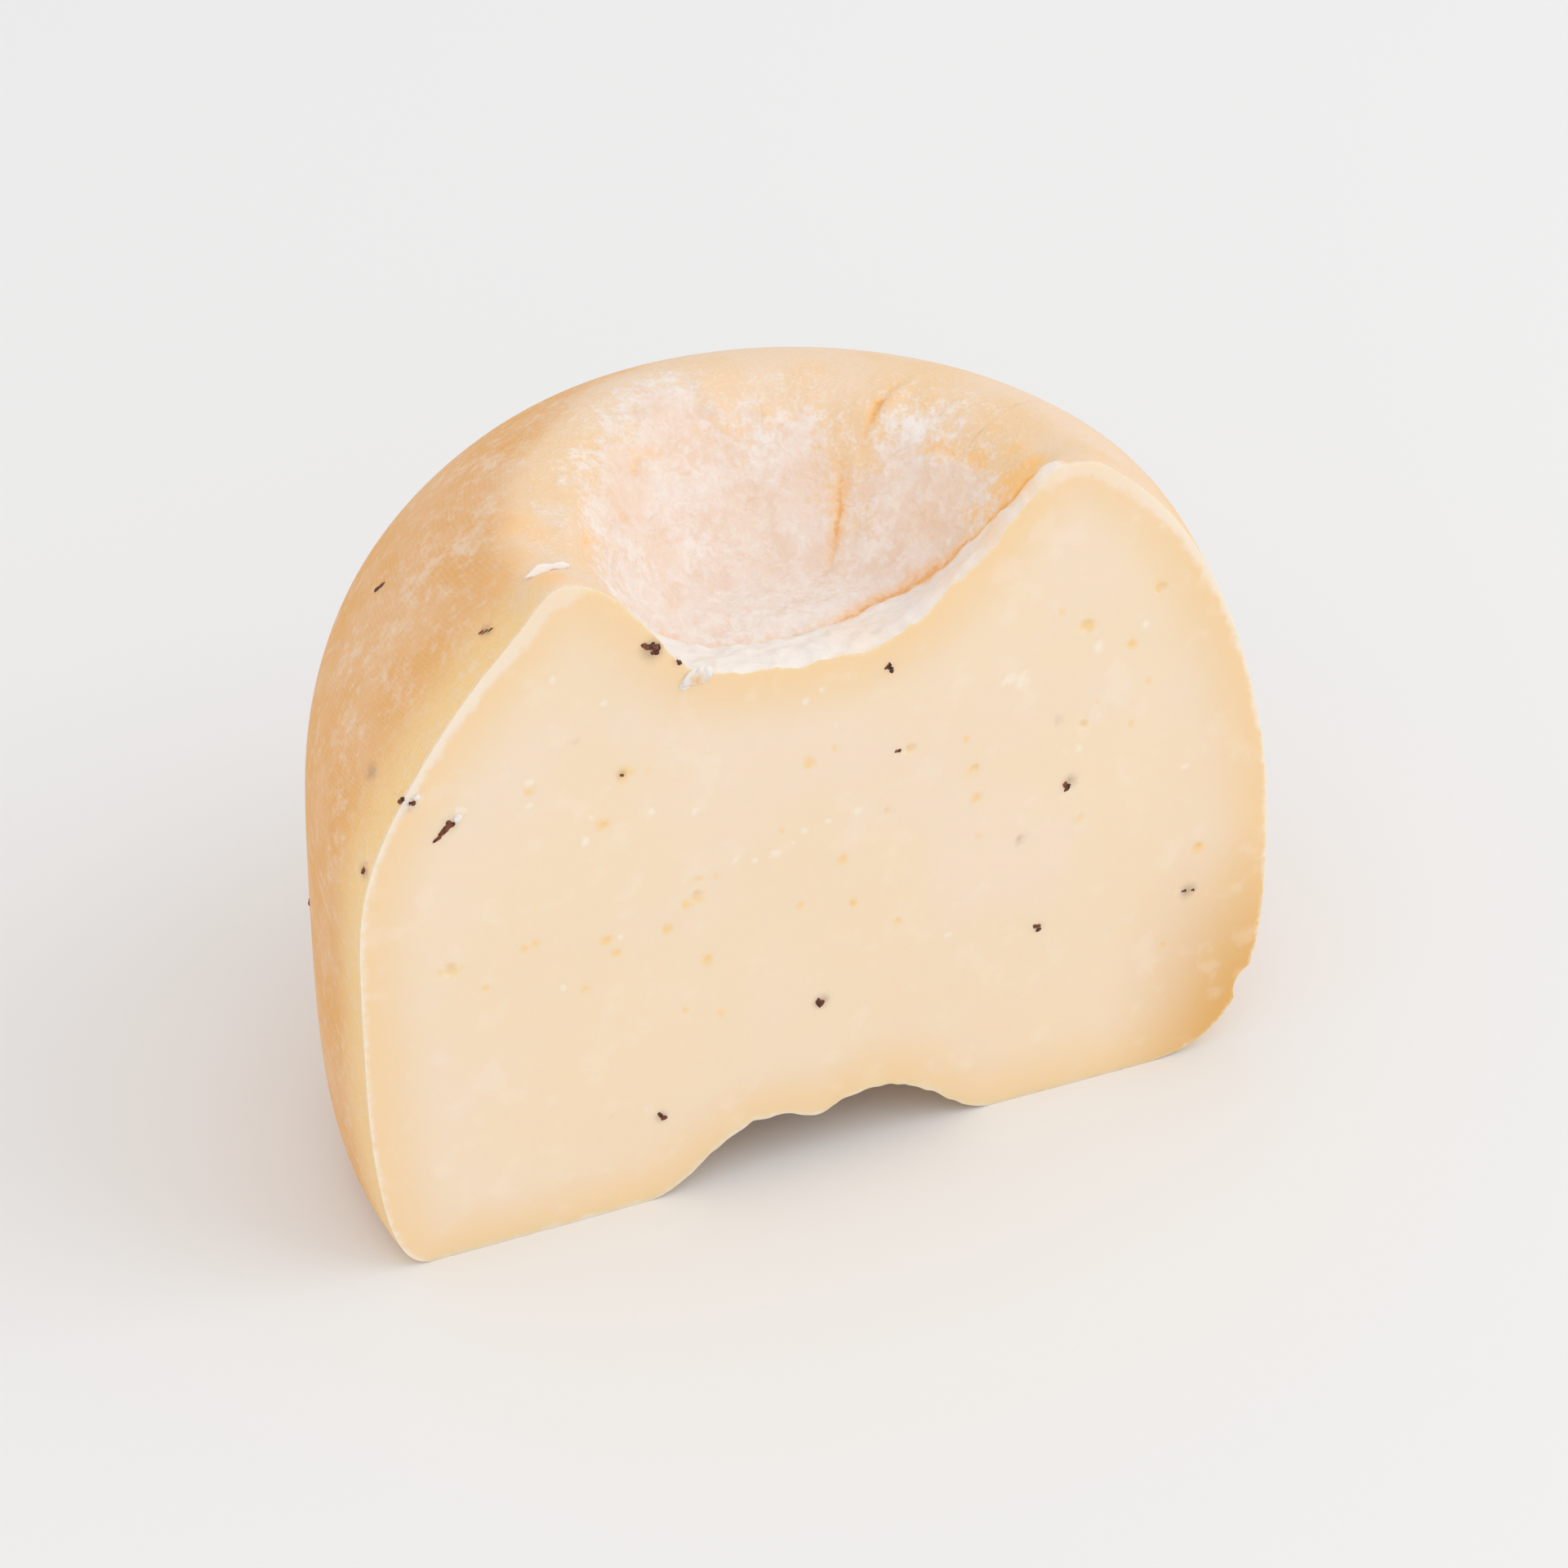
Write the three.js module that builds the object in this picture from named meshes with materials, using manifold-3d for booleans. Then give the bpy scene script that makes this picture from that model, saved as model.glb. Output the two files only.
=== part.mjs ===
// Half of a small sheep's cheese with black truffle, cut upright through the wheel.
// Millimetres. +Z is up, the cut face looks along -Y, and +X runs to the right along it.

import * as THREE from 'three';
import { mergeVertices } from 'three/addons/utils/BufferGeometryUtils.js';
import Module from 'manifold-3d';

// The wheel before it was cut. "right" and "back" terms lean a size towards +X and +Y.
const wheelHeight = 81.1;
const wheelRadius = { mean: 55, right: 1.4, back: -0.24, oval: -0.8 };
const girthHeight = { mean: 34.9, right: -14.3, back: 14.4 };
const shoulderPower = { mean: 1.63, right: 0.23, back: 0.2 };
const footRadius = { mean: 43.4, right: -1.2, back: 0 };
const footPower = { mean: 2.7, right: -0.3, back: 0 };
const girthSoftness = 14;
const ridgeSoftness = 3;

// The wheel has sagged a little, so its top stands aside from its foot.
const lean = { right: 1.9, back: -1 };

// The sunken middle of the top, left by the knot of the draining cloth
const ridgeRadius = { mean: 28, right: -0.7, back: -0.5 };
const dimpleDepth = 16.75;
const dimpleFloorRadius = 12;

// The shallower hollow underneath
const hollowDepth = 6.8;
const hollowFloorRadius = 9.5;
const hollowRimRadius = 22;
const hollowShiftRight = 1;
const tongue = { at: [0.5, -6.5], radius: 2.6, drop: 1.5 };

// The knife passed in front of the wheel's axis, so a little more than half is left.
const cutInFrontOfAxis = 6.57;
const cutY = -cutInFrontOfAxis;

// The blade wandered a little: height of each wave of the face, and its turns per millimetre
const knifeWaves = [
  { height: 0.22, alongX: 0.085, alongZ: 0.05, start: 0.6 },
  { height: 0.11, alongX: -0.07, alongZ: 0.21, start: 0 },
];

// Low lumps of the wall, which fade out at the foot and at the ridge
const lumps = [
  { height: 0.35, turns: 3, start: 1.1, rise: 1.4 },
  { height: 0.22, turns: 5, start: -0.7, rise: 2.3 },
  { height: 0.12, turns: 9, start: 2.2, rise: 3.7 },
];

// The right shoulder swells just behind the cut.
const bulge = { angle: 12, across: 14, height: 62, tall: 13, out: 1.3 };

// Creases of the cloth in the dimple, seen from above. Each is pressed in along its path,
// and swells on its left, when followed from its first point, where swell is above 0.
const folds = [
  { path: [[14.8, 15.0], [16.9, 16.5], [20.8, 18.4]], width: 0.9, depth: 1.1, swell: 0.8 },
  { path: [[8.9, 9.9], [11.2, 12.4], [12.4, 17.2]], width: 0.8, depth: 1.3, swell: -0.8 },
  { path: [[18.6, 11.9], [21.6, 9.4], [24.3, 4.7], [24.8, 1.0]], width: 0.8, depth: 0.9, swell: -0.7 },
  { path: [[-21.9, 2.4], [-20.1, 7.0], [-17.4, 11.6]], width: 0.9, depth: 0.6, swell: 0.4 },
  { path: [[-10.9, 17.0], [-9.0, 19.7], [-3.6, 21.4]], width: 0.9, depth: 0.6, swell: -0.4 },
  { path: [[0.2, 29.2], [0.4, 25.2], [0.8, 21.0]], width: 1.1, depth: 0.4, swell: 0.3 },
];

const foldEnds = 0.5;

// The relief of the top fades out down the shoulder, between these heights and radii.
const reliefHeights = { from: 48.7, full: 60.8 };
const reliefRadii = { full: 30.8, to: 37.8 };

// Soft swellings between the creases
const puffs = [
  { at: [19.0, 6.4], radius: 3.6, height: 1.0 },
  { at: [15.0, 13.2], radius: 2.2, height: 0.9 },
  { at: [-14.0, 11.5], radius: 4.5, height: 0.7 },
  { at: [-9.5, -6.0], radius: 4.0, height: 1.1 },
  { at: [15.1, -6.0], radius: 4.7, height: 3.8 },
  { at: [24.5, -6.0], radius: 2.5, height: -0.8 },
  { at: [-28.5, -6.0], radius: 4.5, height: 1.8 },
  { at: [29.5, -6.0], radius: 5.0, height: 1.8 },
];

// The rolled lip between the dimple's floor and the cut, and the crease behind it
const creaseLine = [
  [-21, 4.5], [-13, 3.6], [-6.6, 1.8], [-1, 0.9], [5, 1.2], [8, 1.7], [10.5, 2.6],
  [13, 3.4], [15.5, 3.4], [17.5, 2.7], [19.5, 1.0], [22, -1.8], [24.5, -3.7], [29, -4.2],
];
const creaseWidth = 1.1;
const creaseDepth = 0.7;
const lipHeight = 0.9;
const lipEndLeft = -17;
const lipEndRight = 26;
const lipFade = 4;

// A chip that broke out of the wall's lower right corner at the cut
const chip = { at: [56.1, -7.2, 6.8], size: [3.9, 3.4, 4.0] };

// Truffle flakes in the cut face: place from the wheel's axis and height, length, width, tilt in degrees
const faceFlakes = [
  { x: -18.2, z: 71.2, length: 2.3, width: 1.5, tilt: -10 },
  { x: 8.3, z: 62.2, length: 1.3, width: 1.1, tilt: 60 },
  { x: 29.6, z: 41.4, length: 1.5, width: 1.0, tilt: -25 },
  { x: 45.6, z: 22.6, length: 2.2, width: 0.9, tilt: -5 },
  { x: 27.0, z: 23.3, length: 1.2, width: 0.8, tilt: -30 },
  { x: 0.5, z: 21.1, length: 1.5, width: 1.1, tilt: 5 },
  { x: -18.3, z: 11.3, length: 1.3, width: 1.0, tilt: -50 },
  { x: -40.9, z: 56.2, length: 4.6, width: 1.3, tilt: 48 },
  { x: -45.3, z: 60.2, length: 1.4, width: 0.9, tilt: 10 },
];

// Truffle flakes in the rind: angle from +X in degrees, height, length, width, tilt
const rindFlakes = [
  { angle: 155, height: 69.8, length: 1.9, width: 0.9, tilt: 70 },
  { angle: 179, height: 60.2, length: 1.2, width: 0.8, tilt: 20 },
  { angle: 184, height: 51.7, length: 1.4, width: 0.9, tilt: 80 },
];
const flakeDepth = 0.5;
const flakeSunk = 0.15;
const flakeJitter = 0.22;
const flakeSeed = 2711;

// The largest eyes in the paste: place, half length and half height
const eyes = [
  { x: 40.0, z: 63.8, halfLength: 0.95, halfHeight: 0.7 },
  { x: 31.1, z: 61.7, halfLength: 1.2, halfHeight: 0.5 },
  { x: 31.7, z: 48.7, halfLength: 0.7, halfHeight: 0.6 },
  { x: 10.6, z: 51.7, halfLength: 1.0, halfHeight: 0.55 },
  { x: 18.7, z: 46.7, halfLength: 0.6, halfHeight: 0.6 },
  { x: -14.6, z: 39.9, halfLength: 1.0, halfHeight: 0.6 },
  { x: 46.7, z: 28.5, halfLength: 0.6, halfHeight: 0.6 },
  { x: -41.7, z: 38.4, halfLength: 1.1, halfHeight: 0.5 },
];
const eyeDepth = 0.6;

// How finely the surfaces are divided
const turnSegments = 120;
const hollowSteps = 9;
const footSteps = 2;
const arcSteps = 30;
const softenPasses = 20;
const wallSteps = 23;
const dimpleSteps = 19;
const ridgeCrowding = 1.2;
const knifeGrid = 5.5;

// Tools for the forms below

function smoothStep(value) {
  const t = Math.min(1, Math.max(0, value));
  return t * t * (3 - 2 * t);
}

function bell(distance, width) {
  return Math.exp(-((distance / width) ** 2));
}

function leaning(size, angle) {
  const round = size.mean + size.right * Math.cos(angle) + size.back * Math.sin(angle);
  return round + (size.oval ?? 0) * Math.cos(2 * angle);
}

// How far the wheel's sag moves a point at a height
function leanAt(height) {
  const share = smoothStep(height / wheelHeight);
  return [lean.right * share, lean.back * share];
}

// The nearest place on a path: distance, positive to its left, and how far along it lies, from 0 to 1
function nearPath(x, y, path) {
  let best = { distance: Infinity, side: 1, along: 0 };
  const spans = path.length - 1;
  for (let i = 0; i < spans; i++) {
    const [x0, y0] = path[i];
    const [x1, y1] = path[i + 1];
    const dx = x1 - x0;
    const dy = y1 - y0;
    const t = Math.min(1, Math.max(0, ((x - x0) * dx + (y - y0) * dy) / (dx * dx + dy * dy)));
    const distance = Math.hypot(x - x0 - t * dx, y - y0 - t * dy);
    if (distance < best.distance) {
      const side = Math.sign(dx * (y - y0) - dy * (x - x0)) || 1;
      best = { distance, side, along: (i + t) / spans };
    }
  }
  return best;
}

// Relief in the dimple

function foldRelief(x, y, fold) {
  const near = nearPath(x, y, fold.path);
  const fade = foldEnds + (1 - foldEnds) * Math.sin(Math.PI * near.along);
  const groove = -fold.depth * bell(near.distance, fold.width);
  const swellSide = Math.sign(fold.swell) * near.side * near.distance;
  const swell = Math.abs(fold.swell) * bell(swellSide - 2 * fold.width, 1.5 * fold.width);
  return fade * (groove + swell);
}

function creaseY(x) {
  const last = creaseLine.length - 1;
  for (let i = 0; i < last; i++) {
    const [x0, y0] = creaseLine[i];
    const [x1, y1] = creaseLine[i + 1];
    if (x <= x1) {
      return y0 + (y1 - y0) * smoothStep((x - x0) / (x1 - x0));
    }
  }
  return creaseLine[last][1];
}

function lipRelief(x, y) {
  const fromLeft = smoothStep((x - lipEndLeft) / lipFade);
  const fromRight = smoothStep((lipEndRight + lipFade - x) / lipFade);
  const back = creaseY(x);
  const across = (y - cutY) / (back - cutY);
  const roll = across > 0 && across < 1 ? Math.sin(Math.PI * across) : 0;
  const groove = -creaseDepth * bell(y - back, creaseWidth);
  return fromLeft * fromRight * (lipHeight * roll + groove);
}

function topRelief(x, y) {
  let relief = lipRelief(x, y);
  for (const fold of folds) {
    relief += foldRelief(x, y, fold);
  }
  for (const puff of puffs) {
    relief += puff.height * bell(Math.hypot(x - puff.at[0], y - puff.at[1]), puff.radius);
  }
  return relief;
}

function lumpRelief(angle, height) {
  const share = height / wheelHeight;
  const fade = Math.sin(Math.PI * Math.min(1, Math.max(0, share))) ** 0.5;
  let relief = 0;
  for (const lump of lumps) {
    relief += lump.height * Math.sin(lump.turns * angle + lump.start) * Math.cos(lump.rise * Math.PI * share);
  }
  const turned = THREE.MathUtils.radToDeg(angle) - bulge.angle;
  const aside = turned > 180 ? turned - 360 : turned;
  const swell = bulge.out * bell(aside, bulge.across) * bell(height - bulge.height, bulge.tall);
  return relief * fade + swell;
}

// The wheel's profile at an angle, from the centre underneath to the centre on top, as [radius, height]

function hollowHeight(x, y) {
  const radius = Math.hypot(x - hollowShiftRight, y);
  const share = (radius - hollowFloorRadius) / (hollowRimRadius - hollowFloorRadius);
  const hang = tongue.drop * bell(Math.hypot(x - tongue.at[0], y - tongue.at[1]), tongue.radius);
  return (hollowDepth - hang) * (1 - smoothStep(share));
}

function underProfile(angle) {
  const points = [];
  const rim = hollowRimRadius + hollowShiftRight;
  const foot = leaning(footRadius, angle);
  for (let i = 0; i <= hollowSteps; i++) {
    const radius = (rim * i) / hollowSteps;
    points.push([radius, hollowHeight(radius * Math.cos(angle), radius * Math.sin(angle))]);
  }
  for (let i = 1; i < footSteps; i++) {
    points.push([rim + ((foot - rim) * i) / footSteps, 0]);
  }
  return points;
}

// Two quarter arcs, from the foot out to the girth and in to the ridge, then down to the dimple's centre
function outerArcs(angle) {
  const points = [];
  const foot = leaning(footRadius, angle);
  const low = leaning(footPower, angle);
  const radius = leaning(wheelRadius, angle);
  const girth = leaning(girthHeight, angle);
  const ridge = leaning(ridgeRadius, angle);
  const power = leaning(shoulderPower, angle);
  for (let i = 0; i <= arcSteps; i++) {
    const turn = ((Math.PI / 2) * i) / arcSteps;
    const out = foot + (radius - foot) * Math.sin(turn) ** (2 / low);
    points.push(new THREE.Vector2(out, girth * (1 - Math.abs(Math.cos(turn)) ** (2 / low))));
  }
  for (let i = 1; i <= arcSteps; i++) {
    const turn = ((Math.PI / 2) * i) / arcSteps;
    const out = ridge + (radius - ridge) * Math.abs(Math.cos(turn)) ** (2 / power);
    points.push(new THREE.Vector2(out, girth + (wheelHeight - girth) * Math.sin(turn) ** (2 / power)));
  }
  for (let i = 1; i <= arcSteps; i++) {
    const out = ridge * (1 - i / arcSteps);
    const share = (out - dimpleFloorRadius) / (ridge - dimpleFloorRadius);
    points.push(new THREE.Vector2(out, wheelHeight - dimpleDepth * (1 - smoothStep(share))));
  }
  return points;
}

// Takes the corners off the girth and the ridge, where the arcs meet
function soften(points, angle) {
  const girth = leaning(girthHeight, angle);
  const ridge = leaning(ridgeRadius, angle);
  let soft = points;
  for (let pass = 0; pass < softenPasses; pass++) {
    soft = soft.map((point, i) => {
      if (i === 0 || i === soft.length - 1) {
        return point;
      }
      const nearGirth = bell(point.y - girth, girthSoftness);
      const nearRidge = bell(point.x - ridge, ridgeSoftness) * smoothStep(point.y / girth - 1);
      const middle = soft[i - 1].clone().add(soft[i + 1]).multiplyScalar(0.5);
      return point.clone().lerp(middle, 0.5 * Math.max(nearGirth, nearRidge));
    });
  }
  return soft;
}

function highest(points) {
  let top = 0;
  points.forEach((point, i) => {
    if (point.y > points[top].y) {
      top = i;
    }
  });
  return top;
}

// The outside's profile, with its points closer together towards the ridge
function outerProfile(angle) {
  const even = new THREE.SplineCurve(outerArcs(angle)).getSpacedPoints(3 * arcSteps);
  const soft = soften(even, angle);
  const top = highest(soft);
  const wall = new THREE.SplineCurve(soft.slice(0, top + 1));
  const dimple = new THREE.SplineCurve(soft.slice(top));
  const points = [];
  for (let i = 0; i <= wallSteps; i++) {
    points.push(wall.getPointAt(1 - (1 - i / wallSteps) ** ridgeCrowding));
  }
  for (let i = 1; i <= dimpleSteps; i++) {
    points.push(dimple.getPointAt((i / dimpleSteps) ** ridgeCrowding));
  }
  return points.map(({ x, y }) => [x + lumpRelief(angle, y), Math.max(0, y)]);
}

function wheelProfile(angle) {
  return [...underProfile(angle), ...outerProfile(angle)];
}

// Where a point of the profile stands once the wheel has sagged, with the relief of its top
function wheelPoint(angle, radius, height) {
  const [right, back] = leanAt(height);
  const x = radius * Math.cos(angle) + right;
  const y = radius * Math.sin(angle) + back;
  const high = smoothStep((height - reliefHeights.from) / (reliefHeights.full - reliefHeights.from));
  const inside = smoothStep((reliefRadii.to - radius) / (reliefRadii.to - reliefRadii.full));
  return [x, y, height + high * inside * topRelief(x, y)];
}

// Closed forms

// A turned blank whose points are then moved to where each angle's own profile has them
function uncutWheel() {
  const start = wheelProfile(0).map(([radius, height]) => new THREE.Vector2(radius, height));
  const geometry = new THREE.LatheGeometry(start, turnSegments);
  const place = geometry.attributes.position;
  const centre = start.length - 1;
  for (let turn = 0; turn <= turnSegments; turn++) {
    const angle = (2 * Math.PI * (turn % turnSegments)) / turnSegments;
    wheelProfile(angle).forEach(([radius, height], i) => {
      const reach = i === 0 || i === centre ? 0 : radius;
      place.setXYZ(turn * start.length + i, ...wheelPoint(angle, reach, height));
    });
  }
  return geometry;
}

// Where the cut face lies behind or in front of the wheel's axis
function faceY(x, z) {
  let y = cutY;
  for (const wave of knifeWaves) {
    y += wave.height * Math.sin(wave.alongX * x + wave.alongZ * z + wave.start);
  }
  return y;
}

// What the knife takes away: a block as deep as the wheel is wide, larger than it all round
function knifeBlock() {
  const width = 3 * wheelRadius.mean;
  const height = 2 * wheelHeight;
  const depth = 2 * wheelRadius.mean;
  const across = Math.round(width / knifeGrid);
  const up = Math.round(height / knifeGrid);
  const geometry = new THREE.BoxGeometry(width, depth, height, across, 1, up);
  geometry.translate(0, cutY - depth / 2, wheelHeight / 2);
  const place = geometry.attributes.position;
  for (let i = 0; i < place.count; i++) {
    const isFace = place.getY(i) > cutY - depth / 2;
    if (isFace) {
      place.setY(i, faceY(place.getX(i), place.getZ(i)));
    }
  }
  return geometry;
}

// A small rounded body with uneven faces, for flakes, eyes and the chip
function pebble(halfSizes, jitter, random) {
  const geometry = new THREE.OctahedronGeometry(1, 1);
  geometry.deleteAttribute('normal');
  geometry.deleteAttribute('uv');
  const merged = mergeVertices(geometry);
  const place = merged.attributes.position;
  for (let i = 0; i < place.count; i++) {
    const swell = 1 + jitter * (2 * random() - 1);
    place.setXYZ(i, place.getX(i) * swell, place.getY(i) * swell, place.getZ(i) * swell);
  }
  merged.scale(...halfSizes);
  return merged;
}

// Repeatable draws, so that every build gives the same flakes
function seededRandom(seed) {
  let state = seed;
  return () => {
    state = (state * 16807) % 2147483647;
    return state / 2147483647;
  };
}

function faceFlake(flake, random) {
  const body = pebble([flake.length / 2, flakeDepth, flake.width / 2], flakeJitter, random);
  body.rotateY(THREE.MathUtils.degToRad(-flake.tilt));
  body.translate(flake.x, faceY(flake.x, flake.z) + flakeSunk, flake.z);
  return body;
}

// The wall's radius where its profile passes a height
function wallRadiusAt(angle, height) {
  const profile = outerProfile(angle);
  for (let i = 1; i < profile.length; i++) {
    const [r0, h0] = profile[i - 1];
    const [r1, h1] = profile[i];
    if (h0 <= height && height <= h1) {
      return r0 + ((r1 - r0) * (height - h0)) / (h1 - h0);
    }
  }
  return wheelRadius.mean;
}

function rindFlake(flake, random) {
  const angle = THREE.MathUtils.degToRad(flake.angle);
  const body = pebble([flakeDepth, flake.length / 2, flake.width / 2], flakeJitter, random);
  body.rotateX(THREE.MathUtils.degToRad(flake.tilt));
  const lower = wallRadiusAt(angle, flake.height - flakeDepth);
  const upper = wallRadiusAt(angle, flake.height + flakeDepth);
  body.rotateY(-Math.atan2(lower - upper, 2 * flakeDepth));
  body.rotateZ(angle);
  const radius = wallRadiusAt(angle, flake.height) - flakeSunk;
  const [right, back] = leanAt(flake.height);
  body.translate(radius * Math.cos(angle) + right, radius * Math.sin(angle) + back, flake.height);
  return body;
}

function eyePit(eye, random) {
  const body = pebble([eye.halfLength, eyeDepth, eye.halfHeight], flakeJitter, random);
  body.translate(eye.x, faceY(eye.x, eye.z), eye.z);
  return body;
}

function brokenChip(random) {
  const body = pebble(chip.size, flakeJitter, random);
  body.translate(...chip.at);
  return body;
}

// Joining and cutting

const wasm = await Module();
wasm.setup();

function solid(geometry) {
  const bare = geometry.clone();
  bare.deleteAttribute('normal');
  bare.deleteAttribute('uv');
  const merged = mergeVertices(bare);
  const index = [];
  const source = merged.index.array;
  for (let i = 0; i < source.length; i += 3) {
    const [a, b, c] = [source[i], source[i + 1], source[i + 2]];
    if (a !== b && b !== c && c !== a) {
      index.push(a, b, c);
    }
  }
  return new wasm.Manifold(new wasm.Mesh({
    numProp: 3,
    vertProperties: new Float32Array(merged.attributes.position.array),
    triVerts: new Uint32Array(index),
  }));
}

function toGeometry(body) {
  const mesh = body.getMesh();
  const geometry = new THREE.BufferGeometry();
  geometry.setAttribute('position', new THREE.BufferAttribute(mesh.vertProperties, 3));
  geometry.setIndex(new THREE.BufferAttribute(mesh.triVerts, 1));
  geometry.computeVertexNormals();
  return geometry;
}

function halfWheel() {
  const random = seededRandom(flakeSeed);
  let body = solid(uncutWheel()).subtract(solid(knifeBlock()));
  body = body.subtract(solid(brokenChip(random)));
  for (const eye of eyes) {
    body = body.subtract(solid(eyePit(eye, random)));
  }
  for (const flake of faceFlakes) {
    body = body.add(solid(faceFlake(flake, random)));
  }
  for (const flake of rindFlakes) {
    body = body.add(solid(rindFlake(flake, random)));
  }
  return toGeometry(body);
}

// The origin is the middle of the box's bottom.
function standOnOrigin(geometry) {
  geometry.computeBoundingBox();
  const centre = geometry.boundingBox.getCenter(new THREE.Vector3());
  geometry.translate(-centre.x, -centre.y, -geometry.boundingBox.min.z);
  return geometry;
}

const paste = new THREE.MeshStandardMaterial({ color: '#f1d9b4', roughness: 0.55, metalness: 0 });
const half = new THREE.Mesh(standOnOrigin(halfWheel()), paste);
half.name = 'cheese_half';

const cheese = new THREE.Group();
cheese.add(half);

export default cheese;
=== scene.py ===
# Half of a small sheep's cheese with black truffle, drained in a knotted cloth and halved with a knife.
# Sizes are in millimetres from the whole wheel's axis and from the table, unless a name says otherwise.

import math
import random

import bpy
import numpy as np
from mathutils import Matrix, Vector, kdtree, noise


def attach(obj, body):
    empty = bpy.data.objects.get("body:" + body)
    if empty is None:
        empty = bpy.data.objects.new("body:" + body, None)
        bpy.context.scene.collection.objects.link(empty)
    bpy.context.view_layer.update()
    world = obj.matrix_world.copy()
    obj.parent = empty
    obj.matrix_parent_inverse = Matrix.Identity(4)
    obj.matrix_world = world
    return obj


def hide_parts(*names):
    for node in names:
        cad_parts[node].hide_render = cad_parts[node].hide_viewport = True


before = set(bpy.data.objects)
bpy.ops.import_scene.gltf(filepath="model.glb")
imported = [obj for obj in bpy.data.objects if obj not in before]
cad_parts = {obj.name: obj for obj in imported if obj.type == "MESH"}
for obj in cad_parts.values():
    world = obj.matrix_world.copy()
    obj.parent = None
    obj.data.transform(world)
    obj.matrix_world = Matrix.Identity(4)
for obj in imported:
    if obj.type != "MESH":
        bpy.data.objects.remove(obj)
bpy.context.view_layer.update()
print("frame loaded")

mm = 0.001
axisAt = Vector((-1.944, -23.899, 0.0)) * mm  # the wheel's axis, seen from the middle of the half's box
draws = random.Random(11)


# Numbers

def smoothStep(value):
    t = np.clip(value, 0.0, 1.0)
    return t * t * (3 - 2 * t)


def bell(distance, width):
    return np.exp(-((distance / width) ** 2))


def leaning(size, angle):  # a size that differs between the wheel's right, back and diagonals
    turned = size["mean"] + size["right"] * np.cos(angle) + size["back"] * np.sin(angle)
    return turned + size.get("oval", 0.0) * np.cos(2 * angle)


def roughness(places, size, seed=0.0):  # smooth noise from -1 to 1, in lumps of about this size
    shift = Vector((seed, 2 * seed, -seed))
    return np.array([noise.noise(Vector(p) / size + shift) for p in places])


def nearPath(x, y, path):  # distance to a path seen from above, which side of it, and how far along it
    best = np.full(len(x), np.inf)
    side = np.ones(len(x))
    along = np.zeros(len(x))
    spans = len(path) - 1
    for i in range(spans):
        (x0, y0), (x1, y1) = path[i], path[i + 1]
        dx, dy = x1 - x0, y1 - y0
        t = np.clip(((x - x0) * dx + (y - y0) * dy) / (dx * dx + dy * dy), 0, 1)
        away = np.hypot(x - x0 - t * dx, y - y0 - t * dy)
        closer = away < best
        best = np.where(closer, away, best)
        side = np.where(closer, np.where(dx * (y - y0) - dy * (x - x0) < 0, -1.0, 1.0), side)
        along = np.where(closer, (i + t) / spans, along)
    return best, side, along


# Mesh helpers

def deselectAll():
    if bpy.context.mode != "OBJECT":
        bpy.ops.object.mode_set(mode="OBJECT")
    bpy.ops.object.select_all(action="DESELECT")


def pick(obj):
    deselectAll()
    obj.select_set(True)
    bpy.context.view_layer.objects.active = obj
    return obj


def getPlaces(obj):  # vertex places in millimetres from the wheel's axis
    places = np.empty(len(obj.data.vertices) * 3)
    obj.data.vertices.foreach_get("co", places)
    matrix = np.array(obj.matrix_world)
    places = places.reshape(-1, 3) @ matrix[:3, :3].T + matrix[:3, 3]
    return (places - np.array(axisAt)) / mm


def setPlaces(obj, places):
    obj.data.vertices.foreach_set("co", (places * mm + np.array(axisAt)).ravel())
    obj.data.update()


def bake(obj):  # the object at the origin, with its place in its mesh
    pick(obj)
    bpy.ops.object.transform_apply(location=True, rotation=True, scale=True)
    return obj


def selectIn(obj, kind, chosen):  # kind is vertices, edges or polygons
    pick(obj)
    mesh = obj.data
    for name in ("vertices", "edges", "polygons"):
        flags = chosen if name == kind else np.zeros(len(getattr(mesh, name)), bool)
        getattr(mesh, name).foreach_set("select", np.asarray(flags, bool))
    bpy.context.tool_settings.mesh_select_mode = tuple(kind == k for k in ("vertices", "edges", "polygons"))
    bpy.ops.object.mode_set(mode="EDIT")


def boolean(obj, tool, operation):
    pick(obj)
    cut = obj.modifiers.new("cut", "BOOLEAN")
    cut.object = tool
    cut.operation = operation
    cut.solver = "MANIFOLD"
    cut.material_mode = "TRANSFER"
    bpy.ops.object.modifier_apply(modifier=cut.name)
    bpy.data.objects.remove(tool)


def setAttribute(obj, name, values):
    made = obj.data.attributes.new(name, "FLOAT", "POINT")
    made.data.foreach_set("value", np.asarray(values, np.float32))


# The whole wheel: a profile is spun, and every spoke is then moved to the profile of its own angle

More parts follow.
